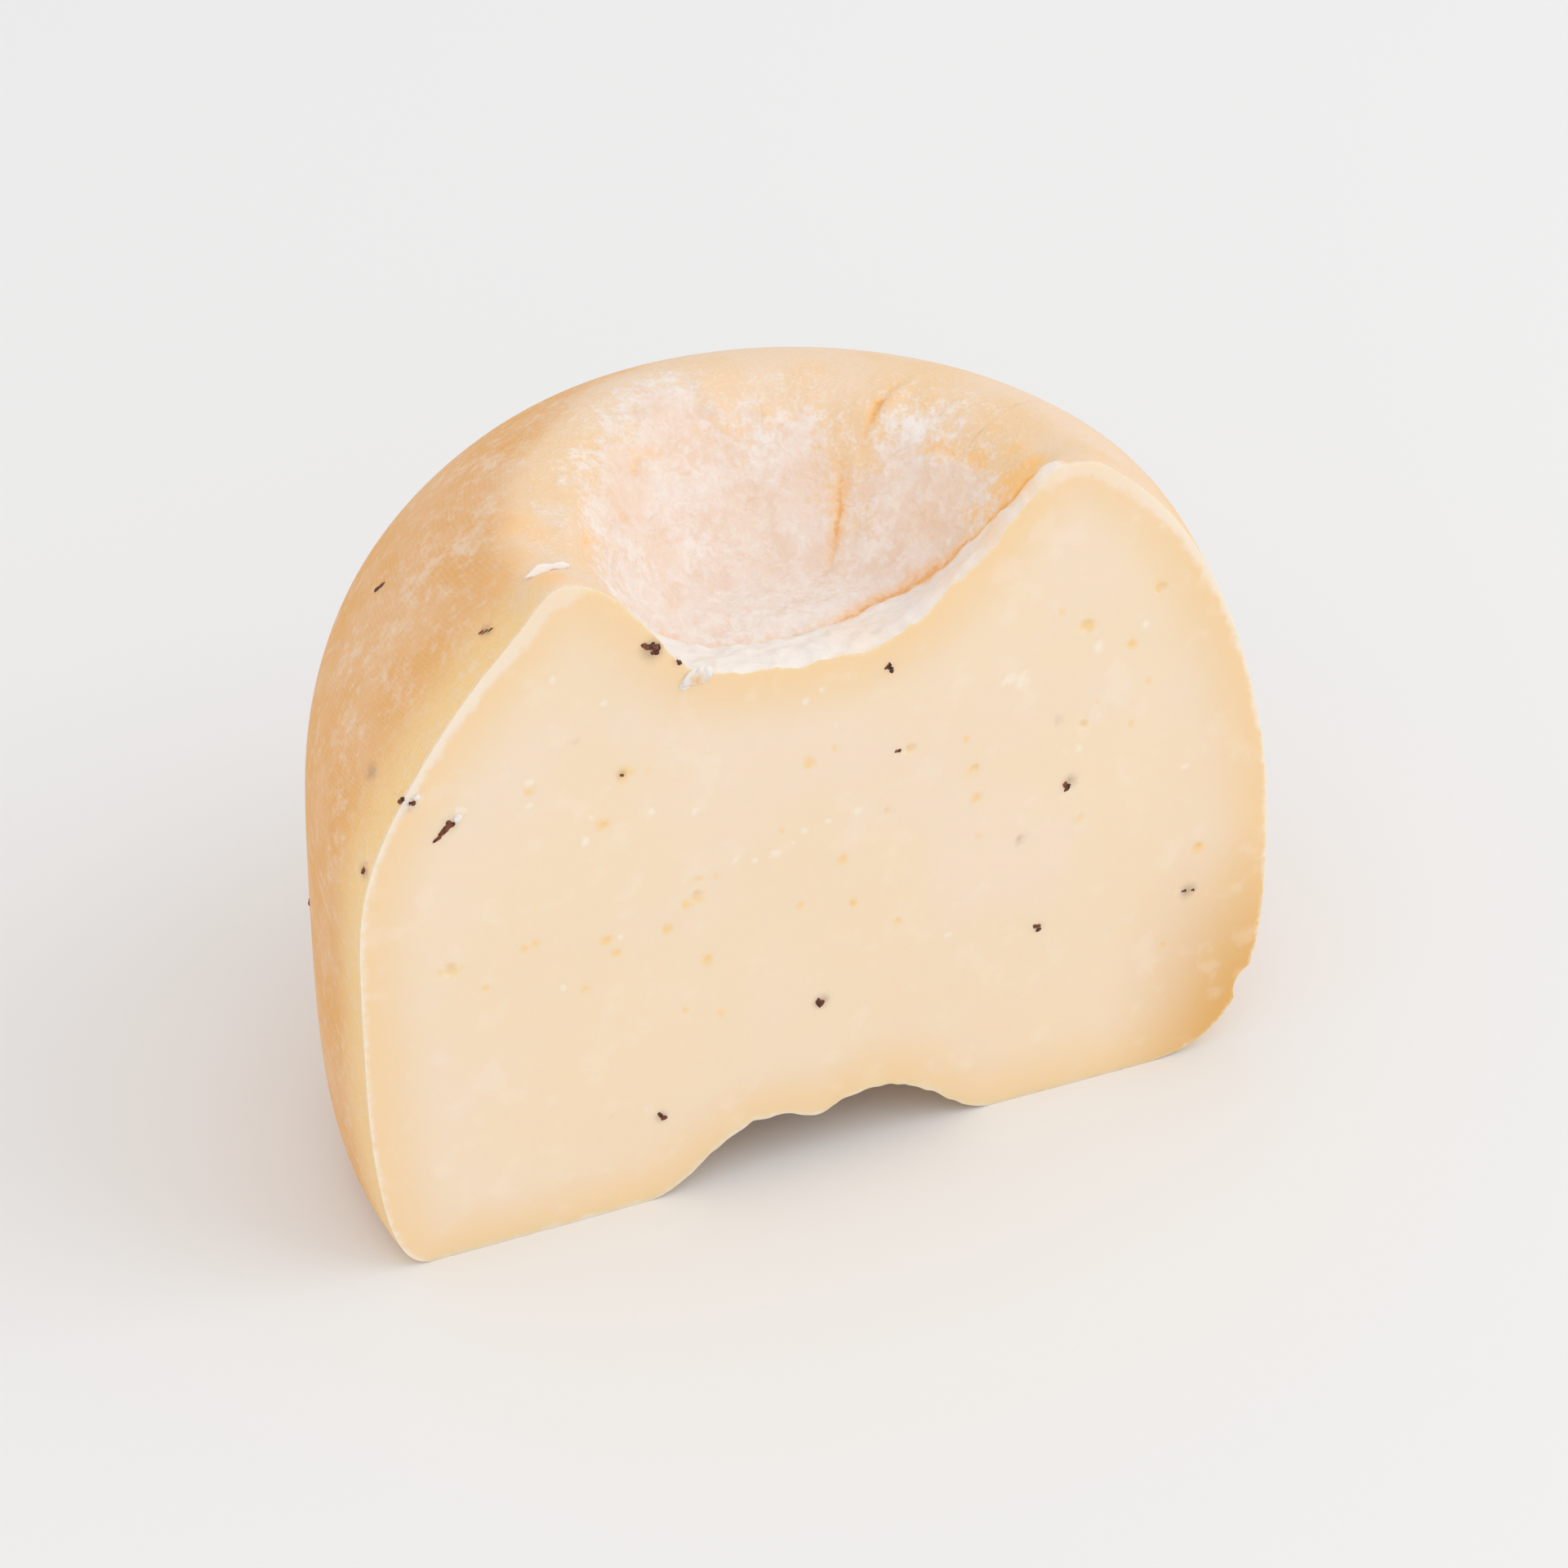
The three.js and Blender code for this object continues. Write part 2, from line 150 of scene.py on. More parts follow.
wheel = {
    "height": 81.1,
    "radius": {"mean": 55.0, "right": 1.4, "back": -0.24, "oval": -0.8},
    "girth": {"mean": 34.9, "right": -14.3, "back": 14.4},  # height of the widest place
    "shoulder": {"mean": 1.63, "right": 0.23, "back": 0.2},  # 2 is a round arc, less is flatter
    "footRadius": {"mean": 43.4, "right": -1.2, "back": 0.0},
    "foot": {"mean": 2.7, "right": -0.3, "back": 0.0},
    "ridge": {"mean": 28.0, "right": -0.7, "back": -0.5},
    "leanRight": 1.9,
    "leanBack": -1.0,
    "girthSoftness": 14.0,
    "ridgeSoftness": 3.0,
    "dimpleDepth": 16.75,
    "dimpleFloor": 12.0,
    "hollowDepth": 6.8,
    "hollowFloor": 9.5,
    "hollowRim": 22.0,
    "hollowShift": 1.0,
    "tongue": {"at": (0.5, -6.5), "radius": 2.6, "drop": 1.5},
    "turns": 576,
    "wallRings": 130,
    "dimpleRings": 92,
    "hollowRings": 26,
    "footRings": 12,
    "thinnedAt": (14.0, 7.0, 3.5, 1.75),  # radii inside which every second spoke is taken out
    "arcSteps": 31,
    "evenSteps": 91,
    "softenings": 20,
}

lumps = [
    {"height": 0.35, "turns": 3, "start": 1.1, "rise": 1.4},
    {"height": 0.22, "turns": 5, "start": -0.7, "rise": 2.3},
    {"height": 0.12, "turns": 9, "start": 2.2, "rise": 3.7},
]
bulge = {"angle": math.radians(12), "across": math.radians(14), "height": 62, "tall": 13, "out": 1.3}


def arcs(angle):  # from the foot out to the girth, in to the ridge and down to the middle of the dimple
    foot, low = leaning(wheel["footRadius"], angle), leaning(wheel["foot"], angle)
    radius, girth = leaning(wheel["radius"], angle), leaning(wheel["girth"], angle)
    ridge, power = leaning(wheel["ridge"], angle), leaning(wheel["shoulder"], angle)
    turn = np.linspace(0, math.pi / 2, wheel["arcSteps"])
    sine, cosine = np.sin(turn), np.clip(np.cos(turn), 0, 1)
    under = np.column_stack((foot + (radius - foot) * sine ** (2 / low), girth * (1 - cosine ** (2 / low))))
    over = np.column_stack((ridge + (radius - ridge) * cosine ** (2 / power),
                            girth + (wheel["height"] - girth) * sine ** (2 / power)))
    inward = ridge * (1 - np.linspace(0, 1, wheel["arcSteps"]))
    share = (inward - wheel["dimpleFloor"]) / (ridge - wheel["dimpleFloor"])
    down = np.column_stack((inward, wheel["height"] - wheel["dimpleDepth"] * (1 - smoothStep(share))))
    return np.vstack((under, over[1:], down[1:]))


def smoothCurve(points, perSpan=6):  # a round curve through the points
    padded = np.vstack((points[:1], points, points[-1:]))
    t = np.arange(perSpan)[:, None] / perSpan
    spans = []
    for i in range(len(points) - 1):
        p0, p1, p2, p3 = padded[i:i + 4]
        v0, v1 = (p2 - p0) / 2, (p3 - p1) / 2
        cubed, squared = 2 * p1 - 2 * p2 + v0 + v1, -3 * p1 + 3 * p2 - 2 * v0 - v1
        spans.append(cubed * t ** 3 + squared * t ** 2 + v0 * t + p1)
    return np.vstack(spans + [points[-1:]])


def spaced(curve, shares):  # points at these shares of the curve's length
    steps = np.hypot(*np.diff(curve, axis=0).T)
    length = np.concatenate(([0], np.cumsum(steps)))
    where = np.asarray(shares) * length[-1]
    return np.column_stack((np.interp(where, length, curve[:, 0]), np.interp(where, length, curve[:, 1])))


def softened(points, angle):  # takes the corners off the girth and the ridge
    girth, ridge = leaning(wheel["girth"], angle), leaning(wheel["ridge"], angle)
    soft = points.copy()
    for _ in range(wheel["softenings"]):
        nearGirth = bell(soft[:, 1] - girth, wheel["girthSoftness"])
        nearRidge = bell(soft[:, 0] - ridge, wheel["ridgeSoftness"]) * smoothStep(soft[:, 1] / girth - 1)
        amount = 0.5 * np.maximum(nearGirth, nearRidge)[1:-1, None]
        middle = (soft[:-2] + soft[2:]) / 2
        soft[1:-1] += amount * (middle - soft[1:-1])
    return soft


def lumpiness(angle, height):
    share = height / wheel["height"]
    fade = np.sqrt(np.sin(math.pi * np.clip(share, 0, 1)))
    relief = sum(l["height"] * np.sin(l["turns"] * angle + l["start"]) * np.cos(l["rise"] * math.pi * share)
                 for l in lumps)
    aside = (angle - bulge["angle"] + math.pi) % (2 * math.pi) - math.pi
    swell = bulge["out"] * bell(aside, bulge["across"]) * bell(height - bulge["height"], bulge["tall"])
    return relief * fade + swell


def underside(angle):  # radius and height from the middle underneath out to the foot
    rim = wheel["hollowRim"] + wheel["hollowShift"]
    foot = leaning(wheel["footRadius"], angle)
    radius = np.concatenate((np.linspace(0, rim, wheel["hollowRings"] + 1),
                             np.linspace(rim, foot, wheel["footRings"] + 1)[1:-1]))
    x, y = radius * math.cos(angle), radius * math.sin(angle)
    away = np.hypot(x - wheel["hollowShift"], y)
    share = (away - wheel["hollowFloor"]) / (wheel["hollowRim"] - wheel["hollowFloor"])
    tongue = wheel["tongue"]
    hang = tongue["drop"] * bell(np.hypot(x - tongue["at"][0], y - tongue["at"][1]), tongue["radius"])
    return np.column_stack((radius, (wheel["hollowDepth"] - hang) * (1 - smoothStep(share))))


def profile(angle):
    even = spaced(smoothCurve(arcs(angle)), np.linspace(0, 1, wheel["evenSteps"]))
    soft = softened(even, angle)
    top = int(np.argmax(soft[:, 1]))
    wall = spaced(smoothCurve(soft[:top + 1]), np.linspace(0, 1, wheel["wallRings"] + 1))
    dimple = spaced(smoothCurve(soft[top:]), np.linspace(0, 1, wheel["dimpleRings"] + 1))
    outside = np.vstack((wall, dimple[1:]))
    outside[:, 0] += lumpiness(angle, outside[:, 1])
    outside[-1, 0] = 0
    outside[:, 1] = np.maximum(0, outside[:, 1])
    return np.vstack((underside(angle), outside))


def spinWheel():
    start = profile(0.0)
    rings = len(start) - 1
    deselectAll()
    bpy.ops.mesh.primitive_grid_add(x_subdivisions=1, y_subdivisions=rings, size=100 * mm, location=axisAt)
    obj = bake(bpy.context.object)
    selectIn(obj, "vertices", getPlaces(obj)[:, 0] < 0)
    bpy.ops.mesh.delete(type="VERT")
    bpy.ops.object.mode_set(mode="OBJECT")
    order = np.argsort(np.argsort(getPlaces(obj)[:, 1]))
    setPlaces(obj, np.column_stack((start[order, 0], np.zeros(rings + 1), start[order, 1])))
    setAttribute(obj, "ring", order)
    selectIn(obj, "edges", np.ones(len(obj.data.edges), bool))
    bpy.ops.mesh.spin(steps=wheel["turns"] // 4, angle=math.pi / 2, center=axisAt, axis=(0, 0, 1))
    for turn in (math.pi / 2, math.pi):  # a quarter is spun, then copied to the half and the whole
        bpy.ops.mesh.select_all(action="SELECT")
        bpy.ops.mesh.duplicate()
        bpy.ops.transform.rotate(value=turn, orient_axis="Z", center_override=axisAt)
    bpy.ops.mesh.select_all(action="SELECT")
    bpy.ops.mesh.remove_doubles(threshold=1e-7)
    bpy.ops.mesh.normals_make_consistent(inside=False)
    bpy.ops.object.mode_set(mode="OBJECT")
    return obj


def thinSpokes(obj):  # towards the poles every second spoke goes, so that the faces stay near square
    step = 2 * math.pi / wheel["turns"]
    for turn, radius in enumerate(wheel["thinnedAt"]):
        places = getPlaces(obj)
        spoke = np.round(np.arctan2(places[:, 1], places[:, 0]) / step).astype(int) % wheel["turns"]
        out = np.hypot(places[:, 0], places[:, 1])
        ends = np.empty(len(obj.data.edges) * 2, int)
        obj.data.edges.foreach_get("vertices", ends)
        a, b = ends.reshape(-1, 2).T
        further = np.maximum(out[a], out[b])
        odd = spoke[np.where(out[a] > out[b], a, b)] % (2 ** (turn + 1)) == 2 ** turn
        same = (spoke[a] == spoke[b]) | (np.minimum(out[a], out[b]) < 1e-3)
        selectIn(obj, "edges", odd & same & (further < radius))
        bpy.ops.mesh.dissolve_edges(use_verts=True)
        bpy.ops.object.mode_set(mode="OBJECT")


cheese = spinWheel()
thinSpokes(cheese)
print("wheel spun", len(cheese.data.polygons), "faces")


# The creased top. A fold is pressed in along its path, and swells on its left where swell is above 0.

folds = [
    {"path": [(15.1, 15.5), (17.4, 16.7), (19.3, 18.1), (22.0, 19.2)],
     "width": 0.4, "depth": 0.4, "swell": -0.55, "tint": 1.0},
    {"path": [(8.4, 9.8), (10.5, 11.8), (11.9, 13.4), (12.7, 15.0), (13.1, 16.6)],
     "width": 0.45, "depth": 0.4, "swell": -0.7, "tint": 1.0},
    {"path": [(18.3, 12.2), (21.2, 9.9), (23.3, 6.5), (24.2, 3.5)],
     "width": 0.5, "depth": 0.3, "swell": -0.75, "tint": 0.95},
    {"path": [(-21.9, 2.4), (-20.1, 7.0), (-17.4, 11.6)],
     "width": 0.6, "depth": 0.4, "swell": 0.8, "tint": 0.91},
    {"path": [(-10.9, 17.0), (-9.0, 19.7), (-3.6, 21.4)],
     "width": 0.5, "depth": 0.4, "swell": -0.8, "tint": 0.91},
    {"path": [(0.2, 29.2), (0.4, 25.2), (0.8, 21.0)],
     "width": 0.8, "depth": 0.3, "swell": 0.2, "tint": 0.8},
    {"path": [(-15.5, 17.3), (-13.6, 14.0), (-11.5, 12.4)],
     "width": 0.4, "depth": 0.35, "swell": 0.7, "tint": 0.85},
]
puffs = [
    {"at": (19.0, 6.4), "radius": 3.6, "height": 1.0},
    {"at": (15.0, 13.2), "radius": 2.2, "height": 0.9},
    {"at": (13.2, 9.5), "radius": 1.2, "height": 0.7},
    {"at": (14.7, 9.9), "radius": 1.3, "height": 0.9},
    {"at": (16.4, 9.8), "radius": 1.2, "height": 0.7},
    {"at": (-14.0, 11.5), "radius": 4.5, "height": 0.7},
    {"at": (-9.5, -6.0), "radius": 4.0, "height": 1.1},
    {"at": (15.1, -6.0), "radius": 4.7, "height": 3.8},
    {"at": (24.5, -6.0), "radius": 2.5, "height": -0.8},
    {"at": (-28.5, -6.0), "radius": 4.5, "height": 1.8},
    {"at": (29.5, -6.0), "radius": 5.0, "height": 1.8},
]
lip = {
    "crease": [(-21, 4.5), (-13, 3.6), (-6.6, 1.8), (-1, 0.9), (5, 1.2), (8, 1.7), (10.5, 2.6),
               (13, 3.4), (15.5, 3.4), (17.5, 2.7), (19.5, 1.0), (22, -1.8), (24.5, -3.7), (29, -4.2)],
    "creaseWidth": 1.0,
    "creaseDepth": 0.5,
    "shallower": {"by": 0.7, "from": 15, "over": 8},  # share taken off the crease to the right
    "height": 0.9,
    "rise": 0.9,  # the cut edge stands higher than the middle of the dimple
    "riseWidth": 3.0,
    "riseFrom": -13,
    "riseFade": 3,
    "across": (0.8, 0.2),  # where the lip's own colour and crumb start to fade, and over how far
    "above": (60, 4),
    "from": -17,
    "to": 26,
    "fade": 4,
}
creased = {"above": (48.7, 12.1), "within": (37.8, 7)}  # where folds and puffs shape the top, and the fades
powder = {  # relief of the bloom on the top
    "lumpHeight": 0.32, "lumpSize": 3.0, "grainHeight": 0.12, "grainSize": 0.9,
    "within": (25, 6), "above": (50, 10),
}
crumble = {  # unevenness of the lip and of the hollow underneath
    "height": 0.42, "size": 1.4, "underneath": 0.45, "grain": 1.6, "fade": 2.5,
}
knife = {
    "inFrontOfAxis": 6.57,
    "waves": [{"height": 0.22, "alongX": 0.085, "alongZ": 0.05, "start": 0.6},
              {"height": 0.11, "alongX": -0.07, "alongZ": 0.21, "start": 0.0}],
    "width": 130,
    "deep": 60,
    "middleHeight": 40,
    "grid": 0.85,
    "finer": {"cuts": 3, "around": 0.5},  # faces at holes and spots
    "drag": 0.03,  # fine unevenness that the blade leaves
    "dragSize": 1.6,
    "stroke": (0.35, 1.0, 1.0),  # the blade's marks lie along its stroke
}


# Holes and spots in the cut face: x, z, and half the size across

eyes = {
    "holes": [(40.5, 63.8, 0.9), (31.6, 61.5, 1.0), (31.7, 48.7, 0.65), (10.9, 51.4, 0.8), (18.7, 46.7, 0.6),
              (-13.8, 39.1, 0.95), (46.7, 28.4, 0.6), (-42.0, 38.3, 0.85)],
    "dents": [(37.2, 57.5, 0.5), (19.0, 42.9, 0.5), (8.4, 44.0, 0.6), (31.6, 36.8, 0.55),
              (4.4, 32.9, 0.5), (9.8, 29.1, 0.5), (-24.2, 51.3, 0.55), (-12.4, 30.5, 0.5),
              (-24.0, 36.6, 0.5), (42.7, 16.1, 0.45)],
    "holeDepth": 0.24,
    "dentDepth": 0.1,
    "unevenness": 0.35,
    "lumps": 0.8,
    "floor": 0.35,  # share of the hole that is flat
    "slope": 0.65,
}
eyeGlowSpots = [  # where the paste is golden: painted warm shade and glow of the light that scatters inside the holes and smaller eyes
    (40.5, 63.8, 0.75), (31.6, 61.5, 0.65), (37.2, 57.5, 0.5), (28.4, 64.0, 0.4), (31.7, 48.7, 0.6),
    (18.5, 46.8, 0.6), (18.8, 42.8, 0.6), (17.5, 50.8, 0.35), (31.6, 36.6, 0.55), (46.7, 28.3, 0.6),
    (8.4, 44.0, 0.5), (9.9, 29.1, 0.55), (4.6, 32.9, 0.45), (3.5, 39.2, 0.5), (19.4, 37.7, 0.35),
    (42.7, 16.1, 0.4), (39.4, 52.2, 0.4), (33.4, 51.1, 0.35), (37.6, 47.2, 0.3), (-32.2, 57.5, 0.55),
    (-24.2, 51.3, 0.55), (-13.6, 39.1, 0.85), (-14.9, 38.6, 0.5), (-13.5, 41.5, 0.45), (-11.4, 41.0, 0.45),
    (-17.1, 35.9, 0.4), (-12.4, 30.5, 0.55), (-24.0, 36.6, 0.5), (-22.8, 34.6, 0.45), (-33.5, 38.4, 0.4),
    (-32.3, 38.8, 0.35), (-41.6, 38.4, 0.6), (-42.9, 38.2, 0.45), (-38.1, 34.8, 0.4), (-26.5, 31.0, 0.5),
    (-15.2, 24.7, 0.4), (-11.0, 23.0, 0.4), (-0.7, 52.9, 0.45), (2.0, 53.9, 0.4), (-3.8, 44.8, 0.3),
    (-1.5, 34.4, 0.3), (10.9, 51.4, 0.5), (-18.9, 56.6, 0.45), (-21.8, 57.0, 0.75), (-39.8, 57.1, 0.35),
]
paleSpots = [  # spots where the paste is whiter
    (-26.2, 49.9, 0.4), (-18.7, 51.5, 0.3), (-25.5, 52.5, 0.35), (-13.8, 50.1, 0.35), (-9.1, 42.5, 0.4),
    (-4.5, 42.1, 0.5), (-1.2, 44.1, 0.35), (5.0, 44.9, 0.35), (-29.2, 32.0, 0.35), (-22.5, 36.5, 0.35),
    (-1.2, 60.8, 0.4), (2.3, 56.8, 0.35), (0.6, 61.7, 0.3), (-29.3, 70.7, 0.4), (-23.8, 66.4, 0.35),
    (-32.2, 59.0, 0.4), (-32.3, 56.0, 0.35), (-39.9, 57.4, 0.6), (22.6, 57.3, 0.8), (24.1, 56.7, 0.9),
    (-44.9, 60.3, 0.7), (-6.9, 41.9, 0.35), (-2.6, 43.0, 0.3), (1.6, 44.6, 0.3), (38.9, 59.6, 0.5),
    (33.1, 58.4, 0.7), (31.4, 45.8, 0.5), (44.4, 39.8, 0.45), (33.6, 49.3, 0.3), (16.1, 25.6, 0.4),
]
chip = {"at": (56.1, -7.2, 6.8), "size": (3.9, 3.4, 4.0), "jitter": 0.12}  # a corner broken off at the foot


def creaseY(x):
    xs, ys = np.array(lip["crease"]).T
    span = np.clip(np.searchsorted(xs, x) - 1, 0, len(xs) - 2)
    return ys[span] + (ys[span + 1] - ys[span]) * smoothStep((x - xs[span]) / (xs[span + 1] - xs[span]))


def lipShare(x):  # 1 along the lip, 0 past its ends
    start, end = (x - lip["from"]) / lip["fade"], (lip["to"] + lip["fade"] - x) / lip["fade"]
    return smoothStep(start) * smoothStep(end)


def lipAcross(x, y):  # 0 at the cut, 1 at the crease
    return (y + knife["inFrontOfAxis"]) / (creaseY(x) + knife["inFrontOfAxis"])


def lipStrength(places):
    x, y, z = places.T
    (inner, innerFade), (low, lowFade) = lip["across"], lip["above"]
    outer = 1 - smoothStep((lipAcross(x, y) - inner) / innerFade)
    return lipShare(x) * outer * smoothStep((z - low) / lowFade)


def topRelief(x, y):
    back = creaseY(x)
    across = lipAcross(x, y)
    roll = np.where((across > 0) & (across < 1), np.sin(math.pi * np.clip(across, 0, 1)), 0)
    less = lip["shallower"]
    deep = lip["creaseDepth"] * (1 - less["by"] * smoothStep((x - less["from"]) / less["over"]))
    relief = lipShare(x) * (lip["height"] * roll - deep * bell(y - back, lip["creaseWidth"]))
    for fold in folds:
        away, side, along = nearPath(x, y, fold["path"])
        fade = 0.15 + 0.85 * np.sin(math.pi * along)
        swellSide = math.copysign(1, fold["swell"]) * side * away
        swell = abs(fold["swell"]) * bell(swellSide - 2.6 * fold["width"], 2 * fold["width"])
        relief += fade * (swell - fold["depth"] * bell(away, fold["width"]))
    rising = smoothStep((x - lip["riseFrom"]) / lip["riseFade"]) * lipShare(x)
    relief += lip["rise"] * rising * bell(y + knife["inFrontOfAxis"], lip["riseWidth"])
    for puff in puffs:
        relief += puff["height"] * bell(np.hypot(x - puff["at"][0], y - puff["at"][1]), puff["radius"])
    return relief


def dimpleShare(places):  # 1 on the powdery top, 0 down the wall
    (near, fade), (low, lowFade) = powder["within"], powder["above"]
    out = np.hypot(places[:, 0] - wheel["leanRight"], places[:, 1] - wheel["leanBack"])
    return (1 - smoothStep((out - near) / fade)) * smoothStep((places[:, 2] - low) / lowFade)


def shapeWheel(obj):
    step = 2 * math.pi / wheel["turns"]
    profiles = np.array([profile(i * step) for i in range(wheel["turns"])])
    places = getPlaces(obj)
    rings = np.empty(len(places))
    obj.data.attributes["ring"].data.foreach_get("value", rings)
    angle = np.arctan2(places[:, 1], places[:, 0])
    spoke = np.round(angle / step).astype(int) % wheel["turns"]
    radius, height = profiles[spoke, np.round(rings).astype(int)].T
    share = smoothStep(height / wheel["height"])
    x = radius * np.cos(spoke * step) + wheel["leanRight"] * share
    y = radius * np.sin(spoke * step) + wheel["leanBack"] * share
    (low, lowFade), (near, nearFade) = creased["above"], creased["within"]
    high = smoothStep((height - low) / lowFade) * smoothStep((near - radius) / nearFade)
    z = height + high * topRelief(x, y)
    moved = np.column_stack((x, y, z))
    lumpy = powder["lumpHeight"] * roughness(moved, powder["lumpSize"])
    grainy = powder["grainHeight"] * roughness(moved, powder["grainSize"], 5.0)
    moved[:, 2] += dimpleShare(moved) * (lumpy + grainy)
    moved[:, 2] += lipStrength(moved) * crumble["height"] * roughness(moved, crumble["size"], 9.0)
    hollow = (rings < wheel["hollowRings"] + wheel["footRings"]) * smoothStep(height / crumble["fade"])
    moved[:, 2] += hollow * crumble["underneath"] * roughness(moved, crumble["grain"], 21.0)
    setPlaces(obj, moved)
    obj.data.attributes.remove(obj.data.attributes["ring"])


def faceY(x, z):
    return -knife["inFrontOfAxis"] + sum(
        w["height"] * np.sin(w["alongX"] * x + w["alongZ"] * z + w["start"]) for w in knife["waves"])


def pitted(x, z):  # how deep the holes and dents go here
    places = np.column_stack((x, np.zeros(len(x)), z))
    uneven = 1 + eyes["unevenness"] * roughness(places, eyes["lumps"], 3.0)
    depth = np.zeros(len(x))
    for kind, deep in (("holes", eyes["holeDepth"]), ("dents", eyes["dentDepth"])):
        for atX, atZ, size in eyes[kind]:
            away = np.hypot(x - atX, z - atZ) / size * uneven
            depth = np.maximum(depth, deep * (1 - smoothStep((away - eyes["floor"]) / eyes["slope"])))
    return depth


def knifeBlock():
    squares = round(knife["width"] / knife["grid"])
    deselectAll()
    bpy.ops.mesh.primitive_grid_add(
        x_subdivisions=squares, y_subdivisions=squares, size=knife["width"] * mm,
        rotation=(math.pi / 2, 0, 0),
        location=axisAt + Vector((0, -knife["inFrontOfAxis"], knife["middleHeight"])) * mm)
    obj = bake(bpy.context.object)
    centres = np.empty(len(obj.data.polygons) * 3)
    obj.data.polygons.foreach_get("center", centres)
    centres = (centres.reshape(-1, 3) - np.array(axisAt)) / mm
    detailed = np.zeros(len(centres), bool)
    for x, z, size in eyes["holes"] + eyes["dents"] + eyeGlowSpots + paleSpots:
        detailed |= np.hypot(centres[:, 0] - x, centres[:, 2] - z) < size + knife["finer"]["around"]
    selectIn(obj, "polygons", detailed)
    bpy.ops.mesh.subdivide(number_cuts=knife["finer"]["cuts"])
    bpy.ops.object.mode_set(mode="OBJECT")
    places = getPlaces(obj)
    x, z = places[:, 0], places[:, 2]
    drawn = places * np.array(knife["stroke"])
    places[:, 1] = faceY(x, z) + knife["drag"] * roughness(drawn, knife["dragSize"]) + pitted(x, z)
    setPlaces(obj, places)
    selectIn(obj, "polygons", np.ones(len(obj.data.polygons), bool))
    bpy.ops.mesh.extrude_region_move(TRANSFORM_OT_translate={"value": (0, -knife["deep"] * mm, 0)})
    bpy.ops.mesh.select_all(action="SELECT")
    bpy.ops.mesh.normals_make_consistent(inside=False)
    bpy.ops.object.mode_set(mode="OBJECT")
    return obj


def pebble(halfSizes, jitter, at, detail=2):  # an uneven round stone
    deselectAll()
    bpy.ops.mesh.primitive_ico_sphere_add(subdivisions=detail, radius=mm, location=axisAt)
    obj = bake(bpy.context.object)
    places = getPlaces(obj)
    swell = 1 + jitter * roughness(places, 0.7, draws.uniform(0, 50))
    setPlaces(obj, places * swell[:, None] * halfSizes + at)
    return obj


def joined(objs, name):
    pick(objs[0])
    for obj in objs:
        obj.select_set(True)
    bpy.ops.object.join()
    objs[0].name = name
    return objs[0]


# Truffle in the paste and in the rind

flakes = {
    "onCut": [  # x, z, length, width, tilt in degrees, stones in the cluster
        (-18.8, 72.2, 1.7, 0.9, -25, 3), (-18.1, 71.8, 1.6, 1.3, -50, 4), (-18.1, 71.2, 1.0, 0.8, 10, 2),
        (-15.4, 69.3, 0.9, 0.5, -45, 2), (8.2, 62.6, 1.0, 0.8, 20, 3), (8.5, 62.1, 0.8, 0.9, 80, 2),
        (9.5, 51.6, 0.8, 0.5, 10, 2), (29.8, 41.3, 1.2, 1.0, -40, 3), (45.2, 22.8, 0.6, 0.4, -15, 2),
        (46.3, 22.6, 0.5, 0.35, 10, 2), (26.9, 23.3, 1.4, 0.8, -50, 3), (0.7, 20.8, 1.3, 1.1, -30, 4),
        (-18.3, 11.4, 1.5, 0.8, -65, 3), (-18.0, 10.9, 0.8, 0.7, 0, 2), (-42.5, 54.9, 1.5, 0.5, 36, 1),
        (-41.7, 55.5, 1.9, 1.0, 37, 1), (-41.1, 56.0, 1.5, 1.4, 42, 2), (-45.1, 60.1, 0.9, 0.8, 0, 3),
        (-46.2, 60.7, 0.8, 0.5, 50, 2), (-21.9, 56.9, 0.5, 0.4, 0, 2),
    ],
    "onRind": [  # degrees round from +X, height, length, width, tilt, stones
        (154.2, 69.9, 2.1, 0.85, 85, 2), (185, 52.2, 1.0, 0.8, 60, 3), (183.1, 76.2, 0.9, 0.26, 72, 1),
        (182.5, 75.8, 1.1, 0.26, 76, 1), (181.8, 75.6, 0.8, 0.24, 80, 1), (128, 62.0, 1.2, 0.8, 10, 3),
        (96, 74.0, 1.4, 0.8, 40, 3), (71, 46.0, 1.5, 0.9, -20, 4), (37, 66.5, 1.2, 0.7, 65, 3),
        (14, 38.0, 1.6, 0.8, 15, 3), (112, 28.0, 1.3, 0.8, -60, 3), (58, 20.0, 1.0, 0.7, 0, 2),
        (160, 33.0, 1.2, 0.8, 35, 3), (132, 47.0, 0.8, 0.6, 80, 2), (84, 12.0, 1.3, 0.8, 30, 3),
        (25, 54.0, 0.9, 0.7, -35, 2),
    ],
    "thick": 0.55,
    "sunk": 0.08,
    "jitter": 0.38,
}
halos = [  # grey bleeding beside a flake: x, z, half the size across, strength
    (-18.3, 71.6, 1.7, 0.6), (-15.4, 69.3, 0.8, 0.4), (30.3, 41.9, 1.1, 0.55), (0.9, 20.9, 1.1, 0.6),
    (45.7, 22.7, 1.2, 0.55), (24.4, 35.9, 0.8, 0.5), (28.8, 50.2, 0.8, 0.45), (-27.0, 62.4, 0.8, 0.3),
    (-45.6, 60.3, 1.3, 0.55), (-41.0, 56.2, 1.4, 0.35), (-18.3, 11.3, 1.0, 0.5), (-23.9, 13.2, 0.5, 0.4),
    (-21.9, 57.1, 0.8, 0.4), (8.3, 62.2, 0.8, 0.3), (9.5, 51.5, 0.6, 0.4), (27.0, 23.3, 0.9, 0.35),
]


